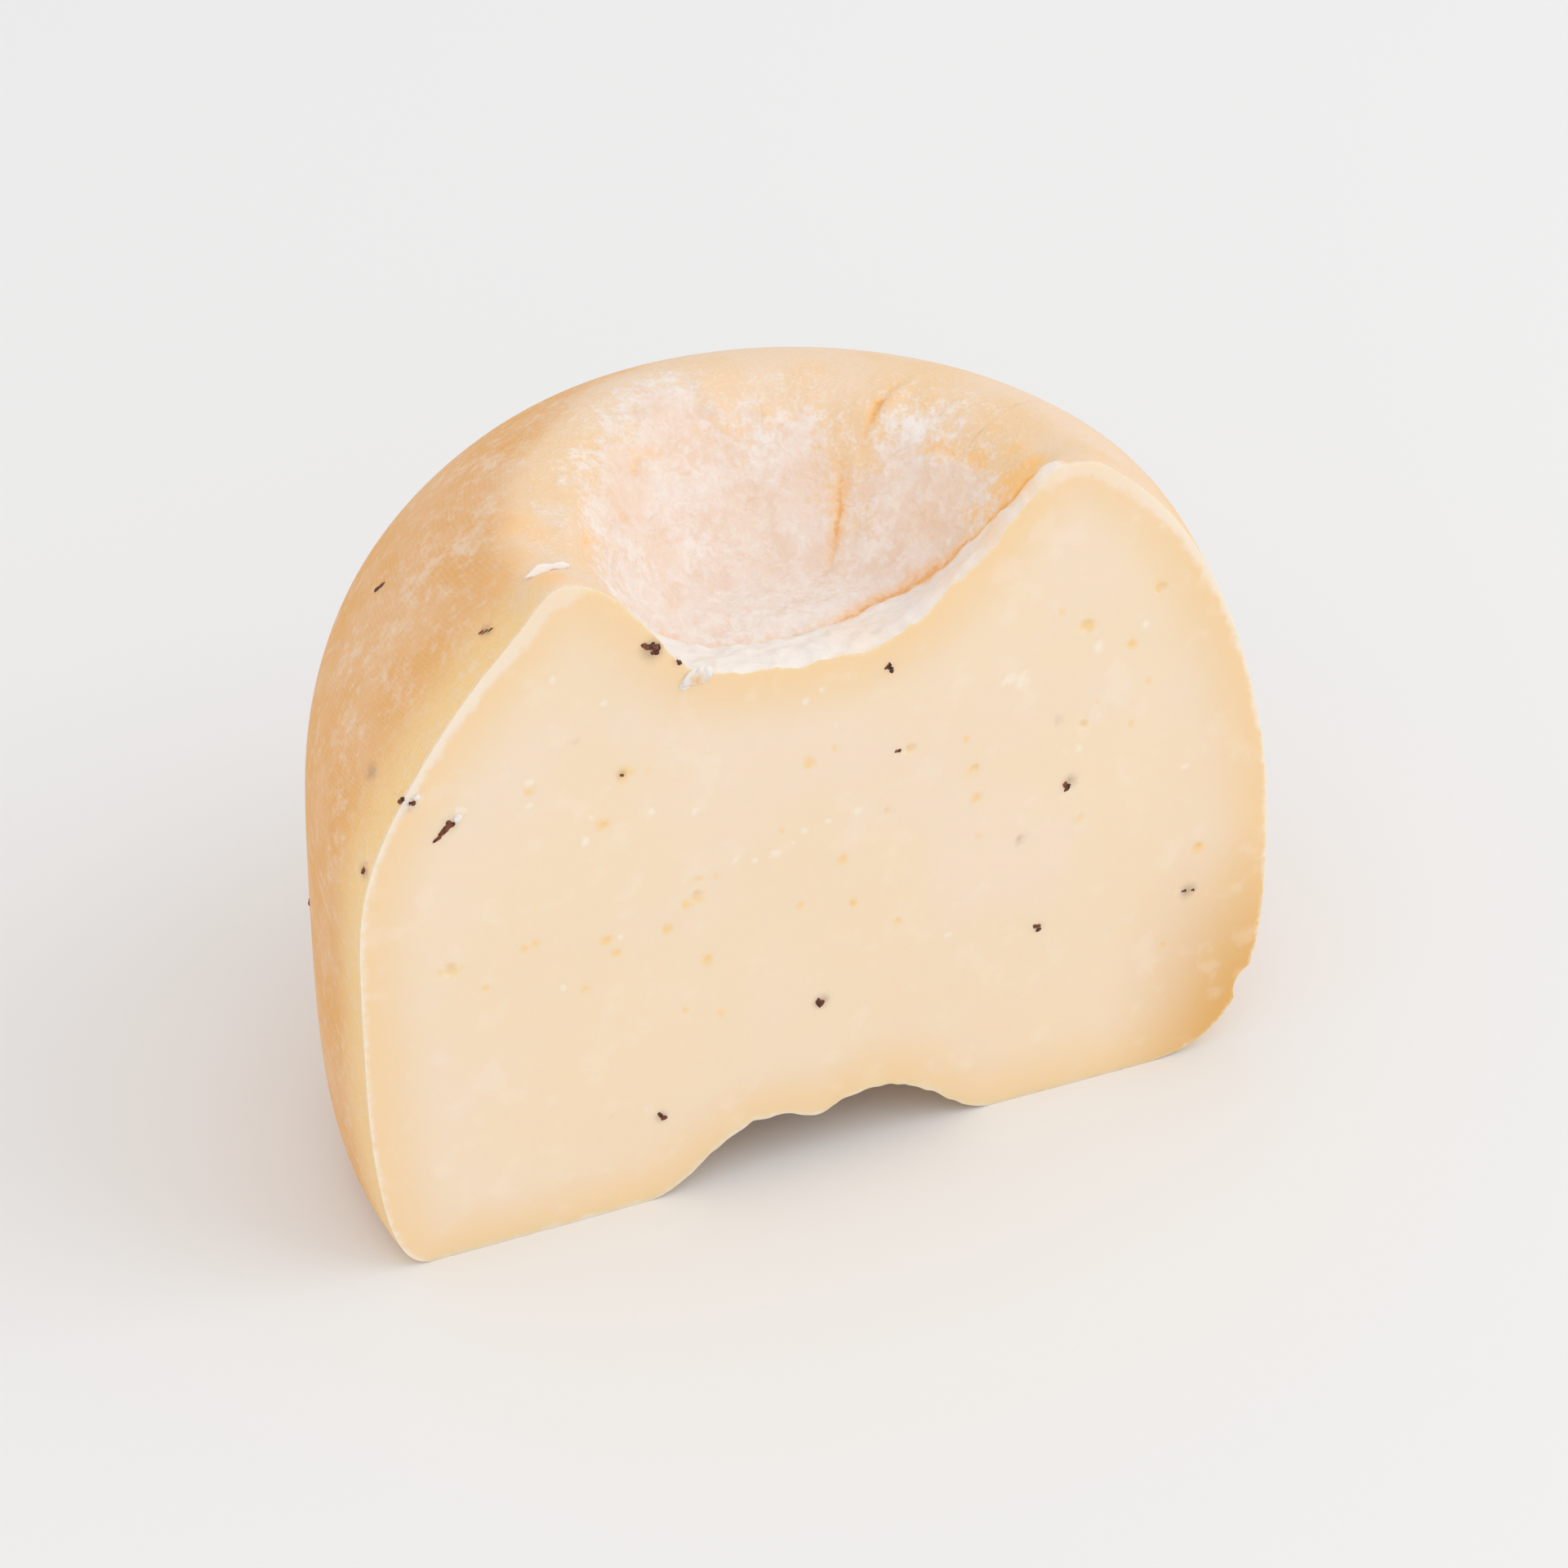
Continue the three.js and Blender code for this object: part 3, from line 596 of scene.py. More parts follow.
stains = [  # grey under the rind: degrees round, height, half the size across, strength
    (179.5, 60.8, 1.2, 0.5), (185, 52.4, 1.0, 0.5), (182.5, 75.9, 1.0, 0.5), (154.2, 69.9, 1.0, 0.35),
    (96, 74.0, 1.0, 0.5), (71, 46.0, 1.1, 0.5), (112, 28.0, 1.0, 0.5), (14, 38.0, 1.1, 0.5),
    (40, 25.0, 1.0, 0.6),
]


cutFace = np.array(((1.0, 0, 0), (0, 0, 1.0), (0, -1.0, 0)))  # across, up and out of the cut face


def wallAt(angle, height):  # the point on the wall at this height
    spun = profile(angle)[wheel["hollowRings"] + wheel["footRings"]:]
    top = int(np.argmax(spun[:, 1]))
    radius = np.interp(height, spun[:top, 1], spun[:top, 0])
    share = smoothStep(height / wheel["height"])
    return np.array((radius * math.cos(angle) + wheel["leanRight"] * share,
                     radius * math.sin(angle) + wheel["leanBack"] * share, height))


def turned(places, across, up, out):  # places along three directions instead of x, z and -y
    return places[:, :1] * across + places[:, 2:] * up - places[:, 1:2] * out


def lay(obj, tilt, across, up, out, at):
    places = getPlaces(obj)
    c, s = math.cos(math.radians(tilt)), math.sin(math.radians(tilt))
    x, y, z = places.T
    setPlaces(obj, turned(np.column_stack((c * x - s * z, y, s * x + c * z)), across, up, out) + at)
    return obj


def flake(length, width, tilt, stones, across, up, out, at):  # a few stones grown together
    made = []
    for i in range(stones):
        share = (i + 0.5) / stones - 0.5
        wide = width * (0.4 + 0.25 * share)
        size = (length / (1.2 * stones + 0.8), flakes["thick"] / 2, wide * draws.uniform(0.85, 1.25))
        shift = (share * length * 0.8, draws.uniform(0, 0.08), width * draws.uniform(-0.2, 0.2))
        made.append(pebble(size, flakes["jitter"], shift))
    return lay(joined(made, "flake"), tilt, across, up, out, at)


def truffleFlakes():
    made = []
    for x, z, *shape in flakes["onCut"]:
        made.append(flake(*shape, *cutFace, (x, faceY(x, z) + flakes["sunk"], z)))
    for degrees, height, *shape in flakes["onRind"]:
        angle = math.radians(degrees)
        at, above, beside = wallAt(angle, height), wallAt(angle, height + 1), wallAt(angle + 0.02, height)
        along = (beside - at) / np.linalg.norm(beside - at)
        rise = (above - at) / np.linalg.norm(above - at)
        out = np.cross(along, rise)
        made.append(flake(*shape, along, rise, out, at - flakes["sunk"] * out))
    return joined(made, "truffle_flakes")


# White skin that the knife tore and lifted

crumbs = {
    "curl": {"from": (-30.1, -1.5, 80.4), "over": (-27.5, -1.2, 81.3), "to": (-24.8, -0.9, 80.2),
             "wide": 1.5, "thick": 0.4, "lean": (0, 0.5, 0.87),
             "lobes": [(0, 0.15), (0.3, 1.0), (0.6, 0.35), (0.83, 0.65), (1, 0.15)]},
    "onCut": [  # x, z, length, width, tilt
        (-14.2, 67.0, 2.5, 1.3, 43), (-12.9, 66.9, 2.0, 1.5, 80), (-13.6, 66.9, 1.9, 1.6, 20),
        (-14.7, 66.2, 1.2, 1.0, 10), (-12.3, 67.0, 1.6, 1.4, 60), (-40.2, 56.9, 1.1, 0.8, 40),
        (-44.6, 60.8, 0.8, 0.5, 20),
    ],
    "orange": [(-13.5, -7.0, 66.6, 0.8, 1.4)],  # x, y, z, half the size across, strength
    "thick": 0.6,
    "jitter": 0.4,
}


def curl():  # a thin lifted flake along a bent line, wider in two places
    size = crumbs["curl"]
    obj = pebble((1, size["thick"] / 2, size["wide"] / 2), 0.3, (0, 0, 0), detail=4)
    x, y, z = getPlaces(obj).T
    t = (np.clip(x, -1, 1)[:, None] + 1) / 2
    start, over, end = (np.array(size[name]) for name in ("from", "over", "to"))
    middle = start * (1 - t) ** 2 + over * 2 * t * (1 - t) + end * t ** 2
    wide = z * np.interp(t[:, 0], *np.array(size["lobes"]).T)
    _, back, up = size["lean"]
    middle += y[:, None] * np.array((0, up, -back)) + wide[:, None] * np.array(size["lean"])
    setPlaces(obj, middle)
    return obj


def rindCrumbs():
    made = [curl()]
    for x, z, length, width, tilt in crumbs["onCut"]:
        stone = pebble((length / 2, crumbs["thick"] / 2, width / 2), crumbs["jitter"], (0, 0, 0), detail=3)
        made.append(lay(stone, tilt, *cutFace, (x, faceY(x, z), z)))
    return joined(made, "rind_crumbs")


# Colour patterns: each is a smooth number at every vertex, and the materials read it

patches = {
    "orange": [  # x, y, z, half the size across, strength
        (25.5, -3.8, 78.7, 2.6, 1.0), (26.5, 2.3, 79.9, 2.2, 0.7), (26.2, 6.7, 80.5, 1.8, 0.6),
        (23.6, -0.8, 76.1, 2.2, 0.8), (22.5, 14.1, 80.6, 1.8, 0.6), (0.6, 24.1, 80.0, 2.2, 0.35),
        (7.3, 22.2, 78.7, 2.2, 0.35), (7.8, 20.8, 77.1, 1.6, 0.35), (-15.8, 13.0, 76.3, 1.6, 0.4),
        (-17.5, 16.4, 80.2, 1.6, 0.3), (21.7, 1.8, 73.4, 1.6, 0.6), (8.1, 3.5, 64.4, 0.8, 0.7),
        (-0.2, 2.2, 64.4, 0.7, 0.9), (-32.2, 2.6, 78.3, 4.5, 0.8), (-36.9, 0.1, 74.1, 3.5, 0.7),
        (-41.8, -2.3, 68.0, 3.5, 0.7), (-22.3, 15.2, 81.0, 2.0, 0.3), (-34.0, 6.4, 76.8, 2.5, 0.5),
        (-46.2, -3.5, 61.0, 3.2, 0.7), (-28.2, -3.6, 80.6, 2.5, 0.7), (-27.4, 9.0, 80.1, 4.0, 0.6),
        (-25.5, 6.0, 80.2, 3.0, 0.5), (-29.0, 3.0, 80.0, 3.0, 0.5), (4.0, 26.5, 80.4, 4.5, 0.3),
        (13.5, 25.5, 80.4, 3.0, 0.3), (24.9, -1.2, 77.9, 2.8, 1.0), (26.8, -1.8, 79.6, 2.4, 1.0),
        (23.3, -1.1, 75.4, 2.0, 0.9), (24.3, 4.8, 77.6, 1.8, 0.8), (17.0, -4.5, 70.0, 3.0, 0.4),
        (21.0, -4.5, 74.5, 3.0, 0.55), (6.5, -3.5, 65.5, 4.0, 0.25),
    ],
    "pink": [
        (-4.0, 24.3, 80.5, 3.0, 0.7), (10.0, 16.7, 72.4, 2.8, 0.8), (1.4, 12.2, 64.6, 3.5, 0.3),
        (18.5, 6.9, 70.9, 3.2, 0.9), (20.5, 5.5, 74.0, 3.0, 0.8), (-11.4, 8.6, 67.1, 3.0, 0.5),
        (-6.7, 7.9, 64.4, 3.0, 0.3), (9.6, 11.8, 66.1, 2.5, 0.3), (2.4, 16.6, 69.3, 3.0, 0.45),
        (-12.5, 15.5, 75.5, 4.0, 0.9), (-9.6, 13.0, 70.1, 3.5, 0.8), (-10.5, 18.8, 78.0, 3.5, 0.8),
        (-5.0, 20.5, 77.0, 3.5, 0.6),
    ],
    "bloom": [
        (-12.9, 10.7, 70.7, 2.4, 0.7), (-5.0, 15.1, 68.8, 2.6, 0.7), (-5.7, 18.7, 74.6, 2.8, 0.5),
        (6.4, 20.0, 75.5, 1.8, 0.8), (8.4, 21.0, 77.7, 1.2, 0.7), (13.5, 9.4, 66.8, 1.4, 1.0),
        (15.0, 10.5, 69.0, 1.3, 0.9), (20.7, 12.3, 78.0, 1.8, 0.9), (24.3, 12.0, 80.8, 1.3, 0.9),
        (28.6, 10.0, 81.0, 1.4, 0.8), (7.4, 26.4, 81.1, 1.3, 0.9), (10.3, 25.5, 81.1, 1.2, 0.9),
        (13.5, 23.7, 81.1, 1.3, 0.9), (-2.2, 28.9, 80.9, 1.8, 0.8), (-15.9, 18.9, 80.7, 1.5, 0.9),
        (-17.4, 12.0, 77.1, 1.3, 0.8), (-6.1, 6.7, 64.4, 1.5, 0.6), (-18.5, 2.7, 73.2, 1.6, 0.6),
        (19.8, 14.2, 78.3, 1.6, 1.0), (-4.0, 3.0, 64.4, 4.0, 0.6), (5.0, 5.0, 64.4, 4.5, 0.6),
        (17.0, 8.0, 70.0, 3.0, 0.35), (-46.3, 7.2, 62.0, 2.6, 0.8), (-43.8, 9.0, 65.7, 2.6, 0.7),
        (-41.1, 8.9, 69.5, 2.6, 0.7), (-36.4, 13.1, 73.8, 3.2, 0.9), (-31.8, 11.4, 77.8, 3.0, 0.9),
        (-27.8, 14.5, 79.4, 2.6, 0.8), (-48.6, 3.6, 57.6, 2.4, 0.6), (-51.2, 1.6, 48.4, 2.6, 0.6),
        (-43.8, 13.5, 64.9, 2.6, 0.6), (-42.5, 1.8, 67.7, 2.0, 0.6), (-23.5, 22.6, 79.2, 3.2, 0.9),
        (-13.3, 30.3, 79.5, 3.4, 0.9), (-26.8, 28.8, 75.1, 3.4, 0.6), (-7.0, 26.7, 81.0, 1.6, 0.8),
        (-18.3, 16.8, 81.0, 1.6, 0.8), (-23.2, 9.4, 81.0, 1.8, 0.8), (-26.6, 4.3, 81.0, 1.8, 0.7),
        (25.5, 12.2, 81.0, 1.8, 0.7),
    ],
}


powderOutline = [  # the powdery middle of the top, seen from above
    (-20.5, -2), (-19.5, 5), (-18, 10), (-17, 14.5), (-14.5, 18.5), (-12, 22), (-9, 25), (-5.5, 28.5),
    (-1.5, 29.5), (0.3, 27), (1, 23.5), (3.5, 22), (8.5, 22.5), (11.5, 20.5), (12.8, 17.5), (12.6, 14.5),
    (14, 12.5), (16.3, 12.3), (17.4, 15.4), (20.5, 16), (22.2, 13), (22.8, 9), (23.4, 5), (22.8, 1),
    (21.5, -2), (19, -5), (16, -7),
]


paleCapAndSheen = {  # the pale top; where it reaches further down the wall at the back right it is painted sheen
    "from": 25, "reach": 37, "further": 21, "towards": math.radians(30), "above": (45, 12),
}


def capShare(places):  # 1 on the pale top, 0 down the wall
    x, y, z = places.T
    low, fade = paleCapAndSheen["above"]
    out = np.hypot(x - wheel["leanRight"], y - wheel["leanBack"]) - paleCapAndSheen["from"]
    facing = np.clip(np.cos(np.arctan2(y, x) - paleCapAndSheen["towards"]), 0, 1)
    reach = paleCapAndSheen["reach"] + paleCapAndSheen["further"] * facing - paleCapAndSheen["from"]
    return (1 - smoothStep(out / reach)) * smoothStep((z - low) / fade)


def insideOutline(x, y, outline):  # distance to the outline, above 0 inside it
    away = nearPath(x, y, outline + outline[:1])[0]
    inside = np.zeros(len(x), bool)
    for (x0, y0), (x1, y1) in zip(outline, outline[1:] + outline[:1]):
        crossing = (y0 > y) != (y1 > y)
        inside ^= crossing & (x < (x1 - x0) * (y - y0) / (y1 - y0 if y1 != y0 else 1) + x0)
    return np.where(inside, away, -away)


def patchStrength(places, spots):
    total = np.zeros(len(places))
    for x, y, z, size, strength in spots:
        away = np.linalg.norm(places - np.array((x, y, z)), axis=1)
        total = np.maximum(total, strength * bell(away, size))
    return total


def spotNearness(x, z, spots):  # distance to the nearest spot, where 1 is its edge
    nearest = np.full(len(x), 4.0)
    for spotX, spotZ, size in spots:
        nearest = np.minimum(nearest, np.hypot(x - spotX, z - spotZ) / size)
    return nearest


rindLineAndHighlight = {  # the pale cut edge of the rind, partly its own pale layer and partly a painted highlight on the rounded edge: height and width, down the left and the right side
    "left": [(0, 0.1), (45, 0.2), (56, 0.4), (64, 0.8), (70, 1.2), (76, 1.6), (80, 1.9), (82, 2.1)],
    "right": [(0, -0.2), (40, 0.0), (55, 0.4), (70, 0.9), (79, 1.5), (82, 1.7)],
    "dimple": -0.3,
    "dimpleWithin": (27.5, 3),
    "dimpleAbove": (55, 5),
    "strength": [(60, 0.8), (72, 0.75), (80, 0.5)],  # height and strength
}


def rindLineAndHighlightWidth(x, z):
    left, right = (np.interp(z, *np.array(rindLineAndHighlight[side]).T) for side in ("left", "right"))
    outer = np.where(x < 0, left, right)
    (near, nearFade), (low, lowFade) = rindLineAndHighlight["dimpleWithin"], rindLineAndHighlight["dimpleAbove"]
    inner = smoothStep((near - np.abs(x)) / nearFade) * smoothStep((z - low) / lowFade)
    return outer + (rindLineAndHighlight["dimple"] - outer) * inner


amberAndShade = {"right": (34, 20), "low": (2, 34), "edge": (38, 10), "edgeStrength": 0.07}  # the golden right edge, and painted shade and reflected orange light in the lower right corner
cloth = {"radius": 52, "middleHeight": 34, "inside": 15, "reach": 40}  # how it wrapped the wheel


def grooveNearness(x, y):  # distance to the nearest fold or to the crease, more where it is faint
    nearest = np.full(len(x), 9.0)
    for fold in folds:
        away, _, along = nearPath(x, y, fold["path"])
        fade = np.clip(np.sin(math.pi * along), 0.15, 1)
        nearest = np.minimum(nearest, away + 6 * (1 - fold["tint"]) + 1.2 * (1 - fade))
    ends = 9 * (1 - lipShare(x)) + 0.8 * (1 - smoothStep((x - 2) / 8))
    return np.minimum(nearest, np.abs(y - creaseY(x)) * 0.85 + ends)


# golden along the right edge, with painted shade and reflected orange light in the lower right corner
def amberAndShadeShare(x, z):
    (right, rightFade), (low, lowFade), (edge, edgeFade) = amberAndShade["right"], amberAndShade["low"], amberAndShade["edge"]
    corner = smoothStep((x - right) / rightFade) * (1 - smoothStep((z - low) / lowFade))
    return np.maximum(corner, amberAndShade["edgeStrength"] * smoothStep((x - edge) / edgeFade))


def addPatterns(obj):
    mesh = obj.data
    places = getPlaces(obj)
    x, y, z = places.T
    loopVertex = np.empty(len(mesh.loops), int)
    mesh.loops.foreach_get("vertex_index", loopVertex)
    faceMaterial, faceSize = np.empty(len(mesh.polygons), int), np.empty(len(mesh.polygons), int)
    mesh.polygons.foreach_get("material_index", faceMaterial)
    mesh.polygons.foreach_get("loop_total", faceSize)
    loopMaterial = np.repeat(faceMaterial, faceSize)
    onCut, onRind = np.zeros(len(places), bool), np.zeros(len(places), bool)
    onCut[loopVertex[loopMaterial == 1]] = True
    onRind[loopVertex[loopMaterial == 0]] = True
    border = kdtree.KDTree(int((onCut & onRind).sum()))
    for i, place in enumerate(places[onCut & onRind]):
        border.insert(place, i)
    border.balance()
    edge = np.array([border.find(place)[2] for place in places])
    setAttribute(obj, "edge", edge)
    # the pale line along the cut: partly the rind's own pale edge, partly a painted highlight on the rounded
    # edge
    setAttribute(obj, "rindLineAndHighlight", edge - rindLineAndHighlightWidth(x, z))
    setAttribute(obj, "lineAndHighlightStrength", np.interp(z, *np.array(rindLineAndHighlight["strength"]).T))
    # top: the pale cap, with painted sheen where it reaches down the back right wall
    setAttribute(obj, "top", capShare(places))
    setAttribute(obj, "groove", grooveNearness(x, y))
    setAttribute(obj, "lip", lipStrength(places))
    setAttribute(obj, "powder", insideOutline(x, y, powderOutline))
    for name, spots in patches.items():
        setAttribute(obj, name, patchStrength(places, spots))
    stained = [(*wallAt(math.radians(degrees), height), *rest) for degrees, height, *rest in stains]
    setAttribute(obj, "stain", patchStrength(places, stained))
    # golden: painted warm shade and glow inside the eyes; amber: the golden right edge and painted shade in the
    # lower right corner
    setAttribute(obj, "golden", spotNearness(x, z, eyeGlowSpots))
    setAttribute(obj, "amberAndShade", amberAndShadeShare(x, z))
    setAttribute(obj, "pale", spotNearness(x, z, paleSpots))
    bleeding = np.zeros(len(places))
    for haloX, haloZ, size, strength in halos:
        bleeding = np.maximum(bleeding, strength * bell(np.hypot(x - haloX, z - haloZ), size))
    setAttribute(obj, "halo", bleeding)
    wrapped = mesh.attributes.new("cloth", "FLOAT_VECTOR", "POINT")  # how far round and up, in metres
    across = np.arctan2(x, y) * cloth["radius"] * mm
    out = np.maximum(np.hypot(x, y) - cloth["inside"], 1)
    up = np.arctan2(z - cloth["middleHeight"], out) * cloth["reach"] * mm
    wrapped.data.foreach_set("vector", np.column_stack((across, up, np.zeros(len(x)))).ravel())


# Materials

def linear(hexColour):
    channels = [int(hexColour[i:i + 2], 16) / 255 for i in (1, 3, 5)]
    return [c / 12.92 if c <= 0.04045 else ((c + 0.055) / 1.055) ** 2.4 for c in channels] + [1.0]


def node(tree, kind, inputs=None, output=0, **settings):  # adds a node and gives back one of its outputs
    made = tree.nodes.new("ShaderNode" + kind)
    for name, value in settings.items():
        setattr(made, name, value)
    for socket, value in (inputs or {}).items():
        if isinstance(value, bpy.types.NodeSocket):
            tree.links.new(value, made.inputs[socket])
        else:
            made.inputs[socket].default_value = linear(value) if isinstance(value, str) else value
    return made.outputs[output]


def newMaterial(name, sockets):
    mat = bpy.data.materials.new(name)
    mat.use_nodes = True
    shader = mat.node_tree.nodes["Principled BSDF"]
    for socket, value in sockets.items():
        shader.inputs[socket].default_value = value
    return mat, mat.node_tree, shader


ramp = {"interpolation_type": "SMOOTHSTEP"}  # map range: value, from, to, new from, new to
blend = {"data_type": "RGBA", "output": 2}  # mix: share at 0, lower colour at 6, upper colour at 7
times, plusTimes = {"operation": "MULTIPLY"}, {"operation": "MULTIPLY_ADD"}


def coated(tree, colour, coats):  # each coat lies where its pattern goes from start to end, at its strength
    for pattern, start, end, strength, coat in coats:
        share = node(tree, "MapRange", {0: pattern, 1: start, 2: end, 4: strength}, **ramp)
        colour = node(tree, "Mix", {0: share, 6: colour, 7: coat}, **blend)
    return colour


rindLook = {
    # golden is painted light on the wall near the cut; edge is the pale rind line, partly a painted highlight
    "tan": "#efba86", "deep": "#ecad63", "golden": "#ffdb9d", "thread": "#f4d2a8", "bloom": "#f4dfca",
    "peach": "#f0d5b9", "shoulder": "#f0c994", "powder": "#efdfd5", "powderDark": "#e8c8b0",
    "powderWhite": "#f3ebe5", "flush": "#efc8a4", "wrinkle": "#e5b898", "orange": "#ffc677",
    "groove": "#eca858", "lip": "#f2ebe5", "edge": "#f2e4d3", "stain": "#8f7a68",
    "threadPitch": 0.5,  # millimetres from thread to thread of the draining cloth
}


def rindMaterial():
    # cheese rind, dried in its draining cloth: matt, printed by the threads, with a dusty pale bloom
    look = rindLook
    mat, tree, skin = newMaterial("ClothDrainedRind", {
        "Roughness": 0.8, "IOR": 1.4, "Specular IOR Level": 0.25,
        "Subsurface Weight": 0.15, "Subsurface Radius": (1.0, 0.5, 0.25), "Subsurface Scale": 1.5 * mm})
    place = node(tree, "TexCoord", output="Object")
    read = {name: node(tree, "Attribute", output="Fac", attribute_name=name)
            for name in ("edge", "top", "lip", "bloom", "orange", "pink", "powder", "groove", "stain")}
    wrapped = node(tree, "Attribute", output="Vector", attribute_name="cloth")
    wide, mottle, middle, small, fine = (  # lumps in millimetres, detail and roughness
        node(tree, "TexNoise", {"Vector": place, "Scale": 1 / (size * mm), "Detail": detail, "Roughness": rough})
        for size, detail, rough in ((13, 3, 0.5), (5, 5, 0.65), (3.5, 4, 0.6), (1.2, 2, 0.5), (0.45, 2, 0.6)))
    grain = node(tree, "Math", {0: fine, 1: 0.6, 2: small}, **plusTimes)

    # the cloth's print, slanting a little across the wall
    slanted = node(tree, "Mapping", {"Vector": wrapped, "Rotation": (0, 0, math.radians(8))})
    woven = {"Vector": slanted, "Scale": 0.314 / (look["threadPitch"] * mm), "Distortion": 3.0, "Detail": 2.0,
             "Detail Scale": 0.3}
    warp = node(tree, "TexWave", woven, output="Fac", bands_direction="X")
    weft = node(tree, "TexWave", woven, output="Fac", bands_direction="Y")
    threads = node(tree, "Math", {0: weft, 1: 0.5, 2: warp}, **plusTimes)

    # the wall: tan and deeper tan, golden and lighter near the cut as painted light, with pale threads, bloom
    # and grey stains
    patchy = node(tree, "Math", {0: wide, 1: 0.8, 2: mottle}, **plusTimes)
    dusty = node(tree, "Math", {0: read["bloom"], 1: 0.25, 2: grain}, **plusTimes)
    dusty = node(tree, "Math", {0: middle, 1: 0.7, 2: dusty}, **plusTimes)
    blurred = node(tree, "Math", {0: grain, 1: 0.4, 2: read["stain"]}, **plusTimes)
    wall = coated(tree, look["tan"], (
        (patchy, 0.72, 1.08, 1.0, look["deep"]),
        # painted light: lighter golden within 9 mm of the cut, standing in for the light that the rounded
        # shoulder catches
        (read["edge"], 9.0, 0.5, 0.85, look["golden"]),
        (threads, 0.5, 1.1, 0.36, look["thread"]),
        (dusty, 1.1, 1.65, 0.62, look["bloom"]),
        (blurred, 0.4, 1.0, 0.6, look["stain"])))

    # the peach shoulder, and white specks thinning out from the powdery middle
    specks = node(tree, "Math", {0: small, 1: 0.6, 2: fine}, **plusTimes)
    specks = node(tree, "Math", {0: read["powder"], 1: 0.03, 2: specks}, **plusTimes)
    specks = node(tree, "Math", {0: read["bloom"], 1: 0.3, 2: specks}, **plusTimes)
    shoulder = coated(tree, look["peach"], (
        (read["orange"], 0.05, 0.95, 0.85, look["orange"]),
        (wide, 0.4, 0.62, 0.5, look["shoulder"]),
        (specks, 0.66, 1.2, 0.68, look["powderWhite"])))

    # powder: fine white grains over pinkish skin, with faint fine wrinkles
    grains = node(tree, "Math", {0: read["bloom"], 1: 0.35, 2: grain}, **plusTimes)
    dust = coated(tree, look["powder"], (
        (mottle, 0.42, 0.62, 0.52, look["powderDark"]),
        (grains, 0.68, 1.2, 0.9, look["powderWhite"])))
    share = node(tree, "Math", {0: read["pink"], 1: 0.5}, **times)
    dust = node(tree, "Mix", {0: share, 6: dust, 7: look["flush"]}, **blend)
    drift = node(tree, "TexNoise", {"Vector": place, "Scale": 1 / (2.5 * mm), "Detail": 3}, output="Color")
    far = (4 * mm, 4 * mm, 4 * mm)
    bent = node(tree, "VectorMath", {0: drift, 1: far, 2: place}, operation="MULTIPLY_ADD")
    cells = node(tree, "TexVoronoi", {"Vector": bent, "Scale": 1 / (4.5 * mm)}, feature="DISTANCE_TO_EDGE")
    cracks = node(tree, "MapRange", {0: cells, 1: 0.08, 2: 0.0}, **ramp)
    broken = node(tree, "MapRange", {0: middle, 1: 0.45, 2: 0.62, 4: 0.24}, **ramp)
    cracks = node(tree, "Math", {0: cracks, 1: broken}, **times)
    dust = node(tree, "Mix", {0: cracks, 6: dust, 7: look["wrinkle"]}, **blend)

    # the top: shoulder, ragged powder, white lip, and orange in the folds and the crease
    ragged = node(tree, "Math", {0: grain, 1: 6.0, 2: read["powder"]}, **plusTimes)
    ragged = node(tree, "Math", {0: middle, 1: 14.0, 2: ragged}, **plusTimes)
    torn = coated(tree, look["lip"], ((grain, 0.7, 1.0, 0.7, look["powderWhite"]),))
    share = node(tree, "Math", {0: read["orange"], 1: 0.7}, **times)
    torn = node(tree, "Mix", {0: share, 6: torn, 7: look["orange"]}, **blend)
    wrinkle = node(tree, "Math", {0: grain, 1: read["groove"]}, operation="ADD")
    cap = coated(tree, shoulder, (
        (ragged, 9.8, 14.2, 0.9, dust),
        (read["lip"], 0.05, 0.7, 0.9, torn),
        (wrinkle, 2.4, 0.9, 0.5, look["orange"]),
        (wrinkle, 1.4, 0.75, 0.66, look["groove"])))

    # the cap's reach down the wall at the back right is painted sheen
    uneven = node(tree, "Math", {0: mottle, 1: 1.2, 2: read["top"]}, **plusTimes)
    # the pale line along the cut: partly the rind's own pale edge, partly a painted highlight on the rounded
    # edge
    frayed = node(tree, "Math", {0: grain, 1: read["edge"]}, operation="ADD")
    colour = coated(tree, wall, ((uneven, 0.6, 1.3, 1.0, cap), (frayed, 1.25, 0.7, 0.75, look["edge"])))
    tree.links.new(colour, skin.inputs["Base Color"])

    printed = node(tree, "MapRange", {0: read["top"], 1: 0.7, 2: 0.1, 4: 0.35}, **ramp)
    printed = node(tree, "Math", {0: printed, 1: threads, 2: grain}, **plusTimes)
    creases = node(tree, "Math", {0: cracks, 1: read["top"]}, **times)
    printed = node(tree, "Math", {0: creases, 1: -0.8, 2: printed}, **plusTimes)
    bump = node(tree, "Bump", {"Height": printed, "Strength": 0.75, "Distance": 0.2 * mm})
    tree.links.new(bump, skin.inputs["Normal"])
    return mat


pasteLook = {
    # golden is painted warm shade and glow in the eyes; amber is partly painted shade and reflected light; edge
    # is partly a painted highlight
    "cream": "#f2ddc4", "warm": "#f4dab3", "nearRind": "#f3cc8e", "golden": "#f7ca74", "pale": "#f9ecdc",
    "halo": "#8f7360", "edge": "#f4e8da", "amberAndShade": "#dca757",
}


